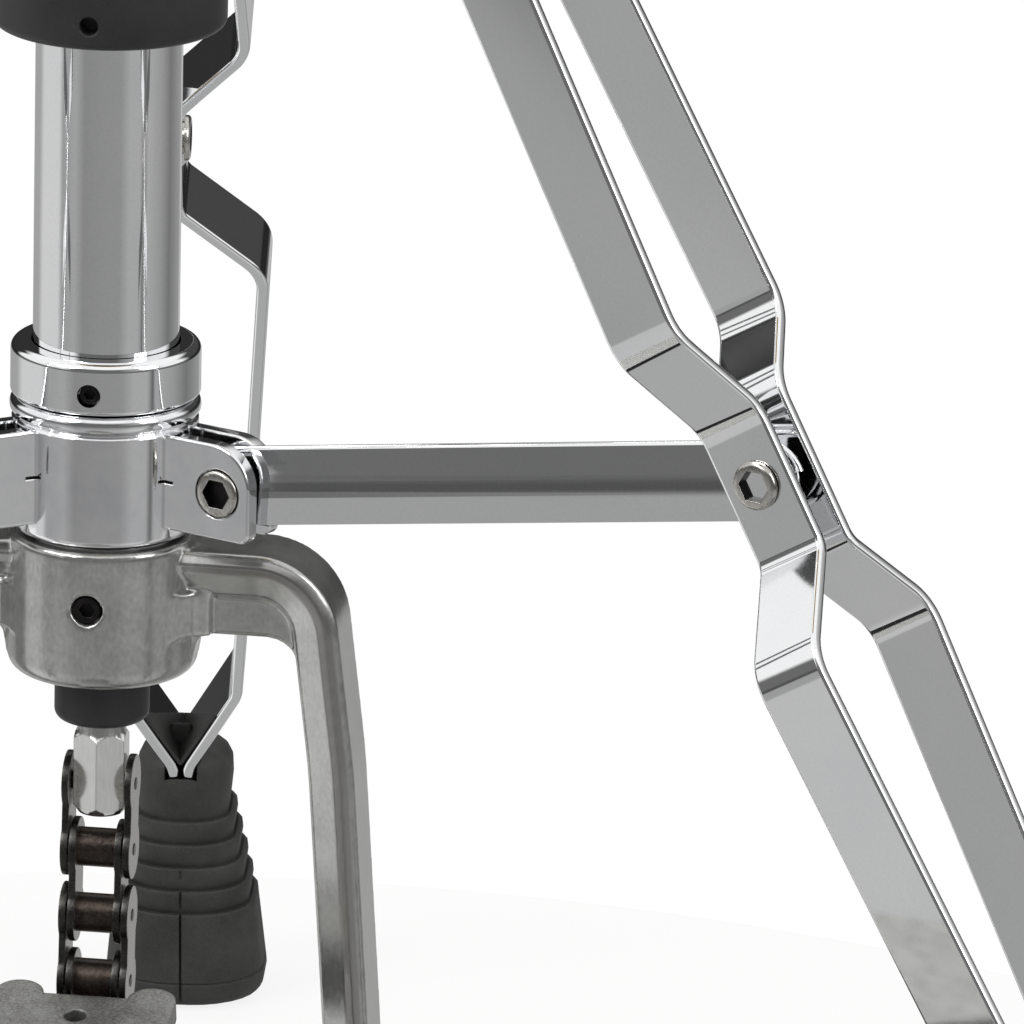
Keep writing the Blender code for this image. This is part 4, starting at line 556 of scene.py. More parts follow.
low, high, radius, mouth, shelf = (hub["base"], hub["top"], hub["radius"], hub["mouth"],
                                   hub["base"] + hub["floor"])
bottom = rounded([(mouth, low), (radius, low), (radius, high)], hub["round"])
profile = [tuple(p) for p in bottom[:-1]] + [(radius, high - 1.0), (radius - 0.3, high - 0.3)]
profile += [(radius - 1.0, high), (sleeveBore, high), (sleeveBore, shelf), (mouth, shelf)]
under, level, start = arm["web"], arm["level"], arm["root"]
web = [(start, level), *rounded([(start, under), (37.4, under), (38.4, 150.0)], 6.5), (36.0, level)]
heel = [(15.0, 156.0), *rounded([(17.6, 155.0), (18.6, under), (23.0, under)], 3.0), (23.0, 166.0),
        (15.0, 166.0)]
root = [(10.0, -13.6), *rounded([(12.4, -12.6), (18.4, -6.6), (21.2, -5.6)], 4.0), (21.3, 0.0), (10.0, 0.0)]
pad = {"inner": 46.6, "outer": 62.6, "half": 15.0, "low": 4.3, "high": 9.3, "round": 3.0}
plan = [(pad["inner"], -pad["half"]), (pad["outer"], -pad["half"]), (pad["outer"], pad["half"]),
        (pad["inner"], pad["half"])]
extras = []
for side in (-1, 1):
    extras.append(armForm(side))
    facing = turnAbout("Z", 0.0 if side > 0 else math.pi)
    for panel in (web, heel):
        extras.append(placed(upright(prism(panel, -arm["panel"], arm["panel"])), facing))
    for flip in (-1, 1):
        extras.append(placed(prism(root, under, level - 3.4), Matrix.Diagonal((1, flip, 1, 1)), facing))
    outline = rounded([(side * x, y) for x, y in plan], pad["round"], 4, closed=True)
    extras.append(prism(outline, pad["low"], pad["high"]))
bore = rod(sleeveBore, shelf, high + 5, 96)
hole = placed(alongY(rod(hub["hole"], -40, 0)), shift(z=hub["screwHeight"]))
form = castForm(worked(turned(profile), extras, [bore, hole]), 0.45, 3)
addPiece("yokeFrame", form, castMetal, "stand", ["yoke_frame"], 60)
yokeScrew = {"radius": 2.5, "length": 3.2, "flats": 2.6, "socket": 1.8, "face": -17.2, "edge": 0.2}
addPiece("yokeSetScrew", setScrew(yokeScrew, hub["screwHeight"]), blackOxideAndShade, "stand", ["yoke_set_screw"])

bush = {"bore": 4.3, "radius": 8.9, "spigot": 7.0, "base": 141.9, "shoulder": 151.7, "top": 160.7,
        "round": 2.0}
skin = rounded([(bush["bore"], bush["base"]), (bush["radius"], bush["base"]),
                (bush["radius"], bush["shoulder"])], bush["round"])
profile = [tuple(p) for p in skin] + [(bush["spigot"], bush["shoulder"]), (bush["spigot"], bush["top"]),
                                      (bush["bore"], bush["top"])]
addPiece("guideBush", turned(profile), blackPlastic, "stand", ["guide_bush"])
print("yoke and bush made")


# Connector, rods and chain

connector = {"low": 123.6, "high": 141.6, "flats": 9.6, "neck": 1.5, "neckRadius": 4.6, "pin": 129.2,
             "pinBore": 2.2, "chamfer": 1.9, "point": 1.3, "bore": 4.3, "boreBase": 133.6}
corner = connector["flats"] / 2 / math.cos(math.pi / 6)
low, high, top = connector["low"], connector["high"], connector["high"] - connector["neck"]
point, wide, neck = corner - connector["point"], corner + 0.1, connector["neckRadius"]
block = rod(corner, low, top, 6, math.pi / 2)
cone = turned([(0.0, top + 0.01), (point, top + 0.01), (wide, top - connector["chamfer"]),
               (wide, low + connector["chamfer"]), (point, low - 0.01), (0.0, low - 0.01)], 96)
cross = placed(alongX(rod(connector["pinBore"], -9, 9)), shift(z=connector["pin"]))
stem = turned([(0.0, top - 1), (neck, top - 1), (neck, high - 0.3), (neck - 0.2, high), (0.0, high)], 64)
block = worked(worked(block, within=[cone]), [stem],
               [rod(connector["bore"], connector["boreBase"], 145), cross])
addPiece("rodConnector", block, satinSteel, "pull_rod", ["rod_connector"])
lowerRod = {"radius": 4.0, "base": 133.9, "top": 560.0, "bore": 3.5, "boreBase": 548.0}
profile = [(0.0, lowerRod["boreBase"]), (lowerRod["bore"], lowerRod["boreBase"]),
           (lowerRod["bore"], lowerRod["top"]), (lowerRod["radius"], lowerRod["top"]),
           (lowerRod["radius"], lowerRod["base"]), (0.0, lowerRod["base"])]
addPiece("pullRodLower", turned(profile, 48), satinSteel, "pull_rod", ["pull_rod_lower"])
upperRod = {"radius": 3.2, "base": 548.3, "top": 1000.0, "footEdge": 0.5, "tipEdge": 0.7}
radius, low, high = upperRod["radius"], upperRod["base"], upperRod["top"]
profile = [(0.0, low), (radius - upperRod["footEdge"], low), (radius, low + upperRod["footEdge"]),
           (radius, high - upperRod["tipEdge"]), (radius - upperRod["tipEdge"], high), (0.0, high)]
addPiece("pullRodUpper", turned(profile, 48), satinSteel, "pull_rod", ["pull_rod_upper"])

chain = {"pitch": 12.69, "plate": 1.35, "roller": 3.7, "rollerBore": 2.2, "rollerHalf": 3.9,
         "rollerWidth": 7.3, "height": 11.2, "waist": 8.2, "pin": 1.7, "pinEdge": 0.6, "proud": 0.12,
         "fit": 0.25, "lean": math.radians(-4.52), "top": 129.2}


def linkPlate(middle):
    end = chain["height"] / 2
    dip = math.acos(chain["waist"] / chain["height"])
    outline = []
    for base, start in ((0.0, -dip), (-chain["pitch"], math.pi - dip)):
        for step in range(25):
            angle = start + (math.pi + 2 * dip) * step / 24
            outline.append((end * math.cos(angle), base + end * math.sin(angle)))
    half = chain["plate"] / 2
    plate = loft([[(x, y, z) for y, z in outline] for x in (middle - half, middle + half)])
    plate = softened(plate, 0.22, 2, 60)
    plate.normal_update()
    for face in plate.faces:
        face.material_index = 1 if abs(face.normal.x) > 0.9 else 0
    return plate


innerMiddle = chain["rollerWidth"] / 2 + chain["plate"] / 2
outerMiddle = innerMiddle + chain["plate"] + chain["fit"]
hang = [turnAbout("X", chain["lean"]), shift(z=chain["top"])]
for index in range(4):
    isOuter = index % 2 == 0
    middle = outerMiddle if isOuter else innerMiddle
    name = ("outerLink_" if isOuter else "innerLink_") + str(index // 2 + 1)
    node = ("chain_outer_link_" if isOuter else "chain_inner_link_") + str(index // 2 + 1)
    down = shift(z=-index * chain["pitch"])
    shapes = [placed(linkPlate(side * middle), down, *hang) for side in (-1, 1)]
    rollers = []
    for end in (0, 1):
        at = [shift(z=-(index + end) * chain["pitch"]), *hang]
        if isOuter:
            reach = middle + chain["plate"] / 2 + chain["proud"]
            radius, tip = chain["pin"], chain["pin"] - chain["pinEdge"]
            pin = turned([(0.0, -reach), (tip, -reach), (radius, -reach + 0.5), (radius, reach - 0.5),
                          (tip, reach), (0.0, reach)], 32)
            shapes.append(placed(alongX(pin), *at))
        else:
            sleeve = pipe(chain["rollerBore"], chain["roller"], -chain["rollerHalf"], chain["rollerHalf"], 40)
            rollers.append(placed(alongX(sleeve), *at))
    addPiece(name, gathered(*shapes), (chainSteel, plateSteel), "chain", [node])
    if rollers:
        addPiece(name + "_rollers", gathered(*rollers), rollerSteel, "chain")
print("connector and chain made")


# Struts and legs

def stadium(half, middle, y):
    outline = []
    for end, start in ((strut["length"], -math.pi / 2), (0.0, math.pi / 2)):
        for step in range(17):
            angle = start + math.pi * step / 16
            outline.append((end + half * math.cos(angle), y, middle + half * math.sin(angle)))
    return outline


def strutForm():
    tall, wide, crown = strut["height"], strut["width"] / 2, strut["crown"]
    ridge = wide - strut["taper"] * crown ** 2
    side = [(wide - strut["taper"] * z ** 2, z) for z in (0.3, 2, 3.5, 5, 6.5, 8, 9.5, 11, 12, crown)]
    for step in range(1, 7):
        angle = step * math.pi / 12
        side.append((ridge * math.cos(angle), crown + (tall - crown) * math.sin(angle)))
    levels = [(-y, z) for y, z in side] + [(y, z) for y, z in reversed(side[:-1])]
    sections = [stadium(z / 2, z / 2 - tall / 2, y) for y, z in levels]
    inside = wide - strut["wall"]
    channel = prism([(-20, -inside), (150, -inside), (150, inside), (-20, inside)], -20, 0.1 * tall)
    pin = alongY(rod(strut["bore"], -9, 9))
    return placed(worked(loft(sections), cuts=[channel, pin]), turnAbout("Y", -strut["angle"]))


def legMatrix():
    along = Vector((math.sin(leg["angle"]), 0.0, -math.cos(leg["angle"])))
    out = Vector((math.cos(leg["angle"]), 0.0, math.sin(leg["angle"])))
    return Matrix((along, Vector((0.0, 1.0, 0.0)), out)).transposed().to_4x4()


def stripPath(label):
    upper, thick = leg["upper"], strip["thick"]
    top = strip["lugWidth"] / 2 + strip["gap"] + thick
    pinch = strut["width"] / 2 + fit + thick
    grip = thick + fit
    bend = strip[label]
    pinch += bend["gape"]
    corners = [(0.0, top), (upper - bend["start"], bend["spread"]), (upper - bend["end"], pinch)]
    corners.append((upper + bend["leave"], pinch))
    corners += [(upper + strip["below"], strip["belowSpread"]),
                (upper + strip["mouth"], strip["mouthSpread"])]
    corners += [(upper + strip["grip"], grip), (upper + leg["lower"], grip)]
    return rounded([(s, b - thick / 2) for s, b in corners], strip["bends"], 12)


def stripForm(label, side):
    path = stripPath(label)
    half, thick = strip["width"] / 2, strip["thick"] / 2
    lead = (path[1] - path[0]).normalized()
    stations = []
    for step in range(2, 14):
        angle = math.pi / 2 * step / 14
        stations.append((path[0] - lead * half * math.cos(angle), lead, half * math.sin(angle)))
    for i, point in enumerate(path):
        ahead = (path[min(i + 1, len(path) - 1)] - path[max(i - 1, 0)]).normalized()
        stations.append((point, ahead, half))
    sections = []
    for point, ahead, reach in stations:
        off = Vector((-ahead.y, ahead.x))
        sides = [(-thick, -reach), (thick, -reach), (thick, reach), (-thick, reach)]
        spots = [(point + off * p.x, p.y) for p in rounded(sides, strip["edge"], 4, closed=True)]
        sections.append([(p.x, side * p.y, level) for p, level in spots])
    return loft(sections)


frameOfLeg = legMatrix()
pivotBolt = {"shank": 3.2, "head": 4.5, "proud": 1.1, "length": 2.6, "flats": 5.4}
pivot = frameOfLeg @ shift(x=leg["upper"]) @ frameOfLeg.inverted()
for name, turn in legTurns.items():
    lugPlace = [shift(x=lug["radius"], z=lug["height"]), turnAbout("Z", turn)]
    topPlace = [shift(x=lug["radius"], z=leg["topHeight"]), turnAbout("Z", turn)]
    addPiece("strut_" + name, placed(strutForm(), *lugPlace), chrome, "strut_" + name, ["strut_" + name])
    for label, side in (("a", -1), ("b", 1)):
        form = placed(stripForm(label, side), frameOfLeg)
        form = worked(form, cuts=[alongY(rod(strip["bore"], -40, 40))])
        addPiece("legStrip_%s_%s" % (name, label), placed(form, *topPlace), chrome, "leg_" + name,
                 ["leg_strip_%s_%s" % (name, label)])
    face = -strut["width"] / 2 - fit - strip["thick"] - fit
    bolt = socketBolt(pivotBolt["shank"], pivotBolt["head"], face - pivotBolt["proud"], face,
                      face + pivotBolt["length"], pivotBolt["flats"])
    addPiece("pivotBolt_" + name, placed(bolt, pivot, *topPlace), (boltSteel, blackOxideAndShade), "leg_" + name,
             ["pivot_bolt_" + name])
print("struts and legs made")


# Rubber feet

foot = {"height": 60.0, "width": 34.0, "topWidth": 20.0, "length": 39.0, "topLength": 28.0, "shift": 11.0,
        "lean": 17.2, "round": 0.88, "sole": 5.8, "ribBase": 22.1, "ribStep": 5.2, "ribs": 5,
        "ribTaper": 0.45, "seam": 0.25, "seamDepth": 0.9, "lining": 17.5, "lip": 12.0, "lipSlope": 0.3,
        "nubDrop": 2.2}


def footMiddle(height):
    end = (leg["upper"] + leg["lower"]) * math.sin(leg["angle"])
    return end + foot["shift"] - foot["lean"] * height / foot["height"]


def footLong(height):
    return (foot["length"] + (foot["topLength"] - foot["length"]) * height / foot["height"]) / 2


def footRing(height, inset):
    wide = (foot["width"] + (foot["topWidth"] - foot["width"]) * height / foot["height"]) / 2 - inset
    long = footLong(height) - inset
    outline = rounded([(long, -wide), (long, wide), (-long, wide), (-long, -wide)],
                      foot["round"] * min(wide, long), 7, closed=True)
    return [(footMiddle(height) + p.x, p.y, height - leg["topHeight"]) for p in outline]


def footForm():
    sole = foot["sole"]
    levels = [(0.0, 3.0), (0.6, 1.6), (1.8, 0.6), (3.4, 0.1), (sole - 0.4, 0.0), (sole, 0.45),
              (sole + 0.4, 0.0)]
    for rib in range(foot["ribs"]):
        edge = foot["ribBase"] + rib * foot["ribStep"]
        skin = rib * foot["ribTaper"]
        levels += [(edge - 1.8, skin - 0.25), (edge - 0.4, skin - 0.3), (edge, skin),
                   (edge + 0.1, skin + 0.5), (edge - 0.3, skin + 1.0), (edge + 0.4, skin + 0.95)]
    levels += [(49.5, 1.4), (53.0, 1.1), (55.2, 1.8), (56.5, 3.0), (57.0, 4.6)]
    shape = loft([footRing(height, inset) for height, inset in levels])
    wide, long = strip["thick"] + 3 * fit, strip["width"] / 2 + fit
    start, end = leg["upper"] + strip["grip"] - 1, leg["upper"] + leg["lower"] + fit
    pocket = prism([(start, -wide), (end, -wide), (end, wide), (start, wide)], -long, long)
    edge = frameOfLeg @ shift(x=leg["upper"], z=-strip["width"] / 2)
    slope = (strip["mouthSpread"] - strip["thick"]) / (strip["grip"] - strip["mouth"])
    low, high = (edge @ Vector((place, 0.0, 0.0)) for place in (strip["grip"] - 0.5, strip["mouth"]))
    near, flare = wide + 0.5 * slope, strip["mouthSpread"] + 2 * fit
    valley = [(-near, low.z), (near, low.z), (flare, high.z), (-flare, high.z)]
    notch = loft([[(x, y, z) for y, z in valley] for x in (low.x - 39, low.x + 39)])
    line = []
    for height in (0.0, foot["height"]):
        face = footMiddle(height) - footLong(height)
        line.append(((face - 2, height), (face + foot["seamDepth"], height)))
    seam = [line[0][0], line[0][1], line[1][1], line[1][0]]
    seam = placed(upright(prism(seam, -foot["seam"], foot["seam"])), shift(z=-leg["topHeight"]))
    body = worked(shape, cuts=[placed(pocket, frameOfLeg), notch, seam])
    tip = start - foot["lining"]
    outer, inner = (slope * (foot["lining"] + 1) - gap for gap in (0.1, 0.9))
    lining = [(start - 1.2, 0.0), (tip, inner), (tip, outer), (start, 0.3)]
    lining += [(place, -y) for place, y in reversed(lining[1:])]
    nub = [(start, 0.4), (start - 6, 2.0), (start - 9, 1.7), (start - 10.5, 0.8)]
    nub += [(place, -y) for place, y in reversed(nub)]
    linings = []
    for outline, front, lip in ((lining, 1 - long, foot["lip"]), (nub, -2.0, foot["lip"] - foot["nubDrop"])):
        upper = [(x, low.z + lip - foot["lipSlope"] * (x - low.x)) for x in (low.x - 30, low.x + 30)]
        upper += [(low.x + 30, low.z + 60), (low.x - 30, low.z + 60)]
        above = loft([[(x, y, z) for x, z in upper] for y in (-20, 20)])
        linings.append(worked(placed(prism(outline, front, long - 1), frameOfLeg), cuts=[above]))
    return gathered(body, *linings)


for name, turn in legTurns.items():
    place = [shift(x=lug["radius"], z=leg["topHeight"]), turnAbout("Z", turn)]
    addPiece("rubberFoot_" + name, placed(footForm(), *place), rubber, "leg_" + name,
             ["rubber_foot_" + name], 50)
print("feet made")


# Footboard

board = {"slope": math.radians(13.8), "reach": -262.0, "height": 24.0, "length": 261.0, "rise": 2.4,
         "thick": 4.0, "heel": 24.7, "widest": 140.0, "half": 40.0, "toe": 17.2, "shoulder": 239.0,
         "notch": 7.9, "notchDepth": 4.0, "start": 12.0, "edge": 0.7, "barrel": 6.0, "bore": 3.3, "hole": 2.1,
         "holeSide": -0.7, "holeBack": 7.0}


def boardOutline():
    right = [(board["heel"], 0.0), (board["heel"], board["start"])]
    for step in range(1, 13):
        share = step / 12
        width = board["heel"] + (board["half"] - board["heel"]) * math.sin(share * math.pi / 2)
        right.append((width, board["start"] + (board["widest"] - board["start"]) * share))
    for step in range(1, 17):
        share = step / 16
        width = board["toe"] + (board["half"] - board["toe"]) * (1 + math.cos(share * math.pi)) / 2
        right.append((width, board["widest"] + (board["shoulder"] - board["widest"]) * share))
    toe, notch, end = board["toe"], board["notch"], board["length"]
    lobe = [(toe, board["shoulder"]), (toe, end), (notch, end), (notch, end - board["notchDepth"])]
    size = (toe - notch) / 2 - 0.15
    right += [tuple(p) for p in rounded(lobe, (0, size, size, 0), 8)[1:]]
    return right + [(-x, y) for x, y in reversed(right)]


tilt = [turnAbout("X", board["slope"]), shift(y=board["reach"], z=board["height"])]
plate = softened(prism(boardOutline(), board["rise"], board["rise"] + board["thick"]), board["edge"], 3, 50)
barrel = alongX(rod(board["barrel"], -board["heel"], board["heel"]))
holeAlong = board["length"] - board["notchDepth"] - board["holeBack"]
hole = placed(rod(board["hole"], -5, 12), shift(x=board["holeSide"], y=holeAlong))
form = worked(plate, [barrel], [alongX(rod(board["bore"], -40, 40)), hole])
addPiece("footboard", placed(form, *tilt), footMetal, "pedal", ["footboard"])
print("footboard made")


# Cymbals and upper tube

cymbal = {"radius": 177.8, "bow": 22.0, "bell": 46.0, "bellHeight": 15.0, "thick": 1.2, "hole": 6.5}


def cymbalHeight(radius):
    bow = cymbal["bow"] * (1 - (radius / cymbal["radius"]) ** 2)
    return bow + cymbal["bellHeight"] * max(0.0, 1 - (radius / cymbal["bell"]) ** 2)


def cymbalForm():
    hole, bell, rim = cymbal["hole"], cymbal["bell"], cymbal["radius"]
    radii = ([hole + (bell - hole) * i / 12 for i in range(12)]
             + [bell + (rim - bell) * i / 24 for i in range(25)])
    upper = [(r, cymbalHeight(r) + cymbal["thick"]) for r in radii]
    return turned(upper + [(r, cymbalHeight(r)) for r in reversed(radii)], 144)


tall = cymbalHeight(cymbal["hole"]) + cymbal["thick"]
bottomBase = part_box("bottom_cymbal")[0][2] / mm
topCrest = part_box("top_cymbal")[1][2] / mm
addPiece("bottomCymbal", placed(cymbalForm(), turnAbout("X", math.pi), shift(z=bottomBase + tall)), bronze,
         "lower_cymbal", ["bottom_cymbal"])
addPiece("topCymbal", placed(cymbalForm(), shift(z=topCrest - tall)), bronze, "upper_cymbal", ["top_cymbal"])
upperTube = {"bore": 7.5, "radius": 9.5, "low": 480.0, "high": 806.0}
addPiece("upperTube", pipe(**upperTube), chrome, "mast", ["upper_tube"])
print("cymbals and upper tube made")


# Base, heel and toe clamp

base = {"rear": 64.0, "back": 18.0, "neck": -64.0, "front": -308.0, "narrow": 36.0, "thick": 4.0,
        "round": 6.0}
half = [(base["rear"], base["back"]), (base["rear"], -base["back"]), (base["narrow"], base["neck"]),
        (base["narrow"], base["front"])]
outline = rounded(half + [(-x, y) for x, y in reversed(half)], base["round"], 8, closed=True)
addPiece("basePlate", softened(prism(outline, 0.0, base["thick"]), 0.7, 3, 50), blackPaint, "stand",
         ["base_plate"])

heelBlock = {"half": 32.3, "ear": 7.0, "floor": 4.3, "front": -307.0, "back": -269.3, "low": 10.3,
             "high": 16.3, "round": 6.2, "bore": 3.3, "head": 5.0, "headThick": 2.0, "pin": 3.0, "end": 32.6,
             "cheekFront": -270.3, "cheekBack": -255.7, "cheekTop": 30.3, "cheekLean": 2.0}
wedge = [(heelBlock["front"], heelBlock["floor"]), (heelBlock["back"], heelBlock["floor"]),
         (heelBlock["back"], heelBlock["high"]), (heelBlock["front"], heelBlock["low"])]
front, back, crest = heelBlock["cheekFront"], heelBlock["cheekBack"], heelBlock["cheekTop"]
cheek = [(front, heelBlock["floor"]), (back, heelBlock["floor"]), (back, crest),
         (front + heelBlock["cheekLean"], crest), (front, heelBlock["high"])]
cheek = rounded(cheek, (0, 0, heelBlock["round"], heelBlock["round"], 0), 10, closed=True)
ears = []
for side in (-1, 1):
    span = (side * heelBlock["half"], side * (heelBlock["half"] - heelBlock["ear"]))
    ears.append(loft([[(x, p[0], p[1]) for p in cheek] for x in span]))
body = loft([[(x, y, z) for y, z in wedge] for x in (-heelBlock["half"], heelBlock["half"])])
pinPlace = shift(y=board["reach"], z=board["height"])
bore = placed(alongX(rod(heelBlock["bore"], -40, 40)), pinPlace)
addPiece("heelBlock", castForm(worked(body, ears, [bore]), 0.6, 3), castMetal, "stand", ["heel_block"],
         60)


def headed(shank, head, end, thick):
    rim = end + thick
    half = [(0.0, rim), (head - 0.6, rim), (head - 0.2, rim - 0.2), (head, rim - 0.6), (head, end),
            (shank, end)]
    return turned(half + [(r, -z) for r, z in reversed(half)], 48)


pin = headed(heelBlock["pin"], heelBlock["head"], heelBlock["end"], heelBlock["headThick"])
addPiece("heelPin", placed(alongX(pin), pinPlace), boltSteel, "stand", ["heel_pin"])

toeClamp = {"inner": chain["rollerWidth"] / 2 + chain["plate"] + 2 * chain["fit"], "pin": 1.4, "length": 22.0}
toeClamp["outer"] = toeClamp["inner"] + 2 * chain["plate"]
tail = hang[1] @ hang[0] @ Vector((0.0, 0.0, -4 * chain["pitch"]))
tail = (tilt[1] @ tilt[0]).inverted() @ tail
link = chain["height"] / 2
back, low = tail.y - link - 1.0, tail.z - link / 2
cheek = rounded([(back - 3.0, low), (tail.y + link / 2, low), (tail.y + link / 2, tail.z + link / 2),
                 (back - 1.0, tail.z + link / 2)], (0, 2.5, 2.5, 0), 8, closed=True)
saddle = rounded([(back - toeClamp["length"], low), (back, low), (back, board["rise"] - fit),
                  (back - toeClamp["length"], board["rise"] - fit)], (3.0, 0, 0, 0), 8, closed=True)
outer, inner = toeClamp["outer"], toeClamp["inner"]
body = loft([[(x, p[0], p[1]) for p in saddle] for x in (-outer, outer)])
extras = [loft([[(x, p[0], p[1]) for p in cheek] for x in (side * inner, side * outer)]) for side in (-1, 1)]
extras.append(placed(alongX(rod(toeClamp["pin"], -inner - 1, inner + 1)), shift(y=tail.y, z=tail.z)))
addPiece("toeClamp", placed(worked(body, extras), *tilt), chainSteel, "pedal", ["toe_clamp"])
print("base, heel and toe clamp made")


# Screws with wings, tube clamp and leg collar

wing = {"shank": 3.0, "hub": 6.0, "gap": 2.0, "length": 9.0, "low": 1.0, "high": 13.0, "span": 17.0,
        "waist": 3.0, "thick": 2.0}


def wingScrew(tip, seat, size):
    shank, hub, neck = wing["shank"] * size, wing["hub"] * size, seat + wing["gap"] * size
    end = neck + wing["length"] * size
    profile = [(0.0, tip), (shank - 0.4, tip), (shank, tip + 0.4), (shank, neck), (hub - 0.6, neck),
               (hub, neck + 0.6)]
    profile += [(hub * 0.9, end - 1.4), (hub * 0.6, end - 0.3), (0.0, end)]
    low, high, span, waist = (wing[key] * size for key in ("low", "high", "span", "waist"))
    curve = (high - low) / 3
    half = [(neck + low, -waist), (neck + low + curve, -span), (neck + high, -span),
            (neck + high - curve, -waist)]
    rounds = (0, curve, curve * 0.9, 2.0 * size)
    outline = rounded(half + [(x, -y) for x, y in reversed(half)], rounds + rounds[::-1], 8, closed=True)
    thick = wing["thick"] * size
    blade = softened(prism(outline, -thick, thick), 0.9 * size, 3, 50)
    return castForm(worked(alongX(turned(profile, 48)), [blade]), 0.4, 2)


boss = {"radius": 7.0, "root": 14.6, "reach": 25.0, "bore": 3.3, "edge": 1.0}


def bossForm(reach):
    radius, root = boss["radius"], boss["root"]
    skin = rounded([(0.0, root), (radius, root), (radius, reach), (0.0, reach)], (0, 0, boss["edge"], 0), 4)
    return alongX(turned([tuple(p) for p in skin], 64))


clamp = {"low": 559.5, "high": 612.4, "shelf": 592.4, "radius": 19.0, "round": 2.0, "bore": 9.8,
         "boss": 602.4}
skin = rounded([(clamp["bore"], clamp["high"]), (clamp["radius"], clamp["high"]),
                (clamp["radius"], clamp["low"]), (sleeveBore, clamp["low"])],
               (0, clamp["round"], clamp["round"], 0))
profile = [tuple(p) for p in skin] + [(sleeveBore, clamp["shelf"]), (clamp["bore"], clamp["shelf"])]
place = shift(z=clamp["boss"])
form = worked(turned(profile), [placed(bossForm(boss["reach"] + fit), place)],
              [placed(alongX(rod(boss["bore"], 0, 40)), place)])
addPiece("tubeClamp", form, castChrome, "stand", ["tube_clamp"])
clampBush = {"bore": 9.8, "radius": 11.3, "flange": 13.3, "low": 561.8, "step": 589.8, "high": 592.1}
profile = [(clampBush["bore"], clampBush["high"]), (clampBush["flange"], clampBush["high"]),
           (clampBush["flange"], clampBush["step"]), (clampBush["radius"], clampBush["step"]),
           (clampBush["radius"], clampBush["low"]), (clampBush["bore"], clampBush["low"])]
addPiece("clampBush", turned(profile), blackPlastic, "stand", ["tube_clamp_bush"])
addPiece("clampWingBolt", placed(wingScrew(clamp["bore"], boss["reach"] + fit, 1.0), place), castChrome,
         "clamp_bolt", ["tube_clamp_wing_bolt"], 60)

legCollar = {"half": 15.0, "radius": 17.4, "round": 1.2, "lug": 6.5, "rise": 8.0, "root": 15.6, "edge": 0.7,
             "pin": 2.5, "head": 4.0, "headThick": 1.2, "screwTurn": legTurns["right"] + math.pi}
half, radius = legCollar["half"], legCollar["radius"]
skin = rounded([(sleeveBore, half), (radius, half), (radius, -half), (sleeveBore, -half)], legCollar["round"])
root, rise, reach = legCollar["root"], legCollar["rise"], lug["radius"] + legCollar["rise"]
tab = rounded([(root, -rise), (reach, -rise), (reach, rise), (root, rise)], (0, rise - fit, rise - fit, 0),
              12, closed=True)
extras, cuts = [], []
for turn in legTurns.values():
    plate = softened(upright(prism(tab, -legCollar["lug"], legCollar["lug"])), legCollar["edge"], 3, 50)
    extras.append(placed(plate, turnAbout("Z", turn)))
    cuts.append(placed(alongY(rod(legCollar["pin"] + fit, -20, 20)), shift(x=lug["radius"]),
                       turnAbout("Z", turn)))
facing = turnAbout("Z", legCollar["screwTurn"])
extras.append(placed(bossForm(boss["reach"]), facing))
cuts.append(placed(alongX(rod(boss["bore"], 0, 40)), facing))
place = shift(z=leg["topHeight"])
form = worked(turned([tuple(p) for p in skin]), extras, cuts)
addPiece("legCollar", placed(form, place), castChrome, "leg_slide", ["leg_collar"])
addPiece("legCollarScrew", placed(wingScrew(sleeveBore, boss["reach"], 1.0), facing, place), castChrome,
         "leg_screw", ["leg_collar_wing_screw"], 60)
reach = legCollar["lug"] + strip["gap"] + strip["thick"] + 2 * fit
for name, turn in legTurns.items():
    pin = headed(legCollar["pin"], legCollar["head"], reach, legCollar["headThick"])
    pin = placed(alongY(pin), shift(x=lug["radius"]), turnAbout("Z", turn), place)
    addPiece("legPin_" + name, pin, boltSteel, "leg_slide", ["leg_pin_" + name])
print("clamp and leg collar made")


# Seat and clutch

def knurled(radius, low, high, teeth):
    sections = []
    for z, inset in ((low, 0.8), (low + 0.8, 0.0), (high - 0.8, 0.0), (high, 0.8)):
        ridges = []
        for i, (x, y) in enumerate(circle(1.0, 4 * teeth)):
            size = radius - inset - (0.35 if i % 4 > 1 else 0.0)
            ridges.append((x * size, y * size, z))
        sections.append(ridges)
    return loft(sections)


def feltForm(bore, radius, low, high):
    soft = 0.42 * (high - low)
    edge = rounded([(bore, low), (radius, low), (radius, high), (bore, high)], (0.6, soft, soft, 0.6), 8,
                   closed=True)
    ring = turned([tuple(p) for p in edge], 144)
    for corner in ring.verts:
        turn = math.atan2(corner.co.y, corner.co.x)
        if corner.co.xy.length > bore + 2:
            corner.co.xy *= 1 - 0.006 * (1 + math.sin(5 * turn + 0.7) * math.cos(3 * turn))
    return ring


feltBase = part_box("seat_felt")[0][2] / mm
cup = {"thick": 5.0, "brim": 24.0, "sleeve": 12.8, "tubeBore": 9.8, "drop": 16.0, "neck": 5.5, "rise": 14.0,
       "bore": 3.8, "screw": 17.9, "screwHole": 2.3, "felt": 21.0, "feltThick": 7.0}
low, high = feltBase - fit - cup["thick"], feltBase - fit
skin = rounded([(cup["neck"], high), (cup["brim"], high), (cup["brim"], high - 2.5),
                (cup["sleeve"], low - 3.0), (cup["sleeve"], low - cup["drop"]),
                (cup["tubeBore"], low - cup["drop"])], (0, 1.0, 1.0, 3.0, 0.8, 0), 6)
profile = [(cup["bore"], high + cup["rise"]), (cup["neck"] - 0.5, high + cup["rise"]),
           (cup["neck"], high + cup["rise"] - 0.5)] + [tuple(p) for p in skin]
profile += [(cup["tubeBore"], low), (cup["bore"], low)]
hole = placed(rod(cup["screwHole"], low - 20, high + 1), shift(x=cup["screw"]))
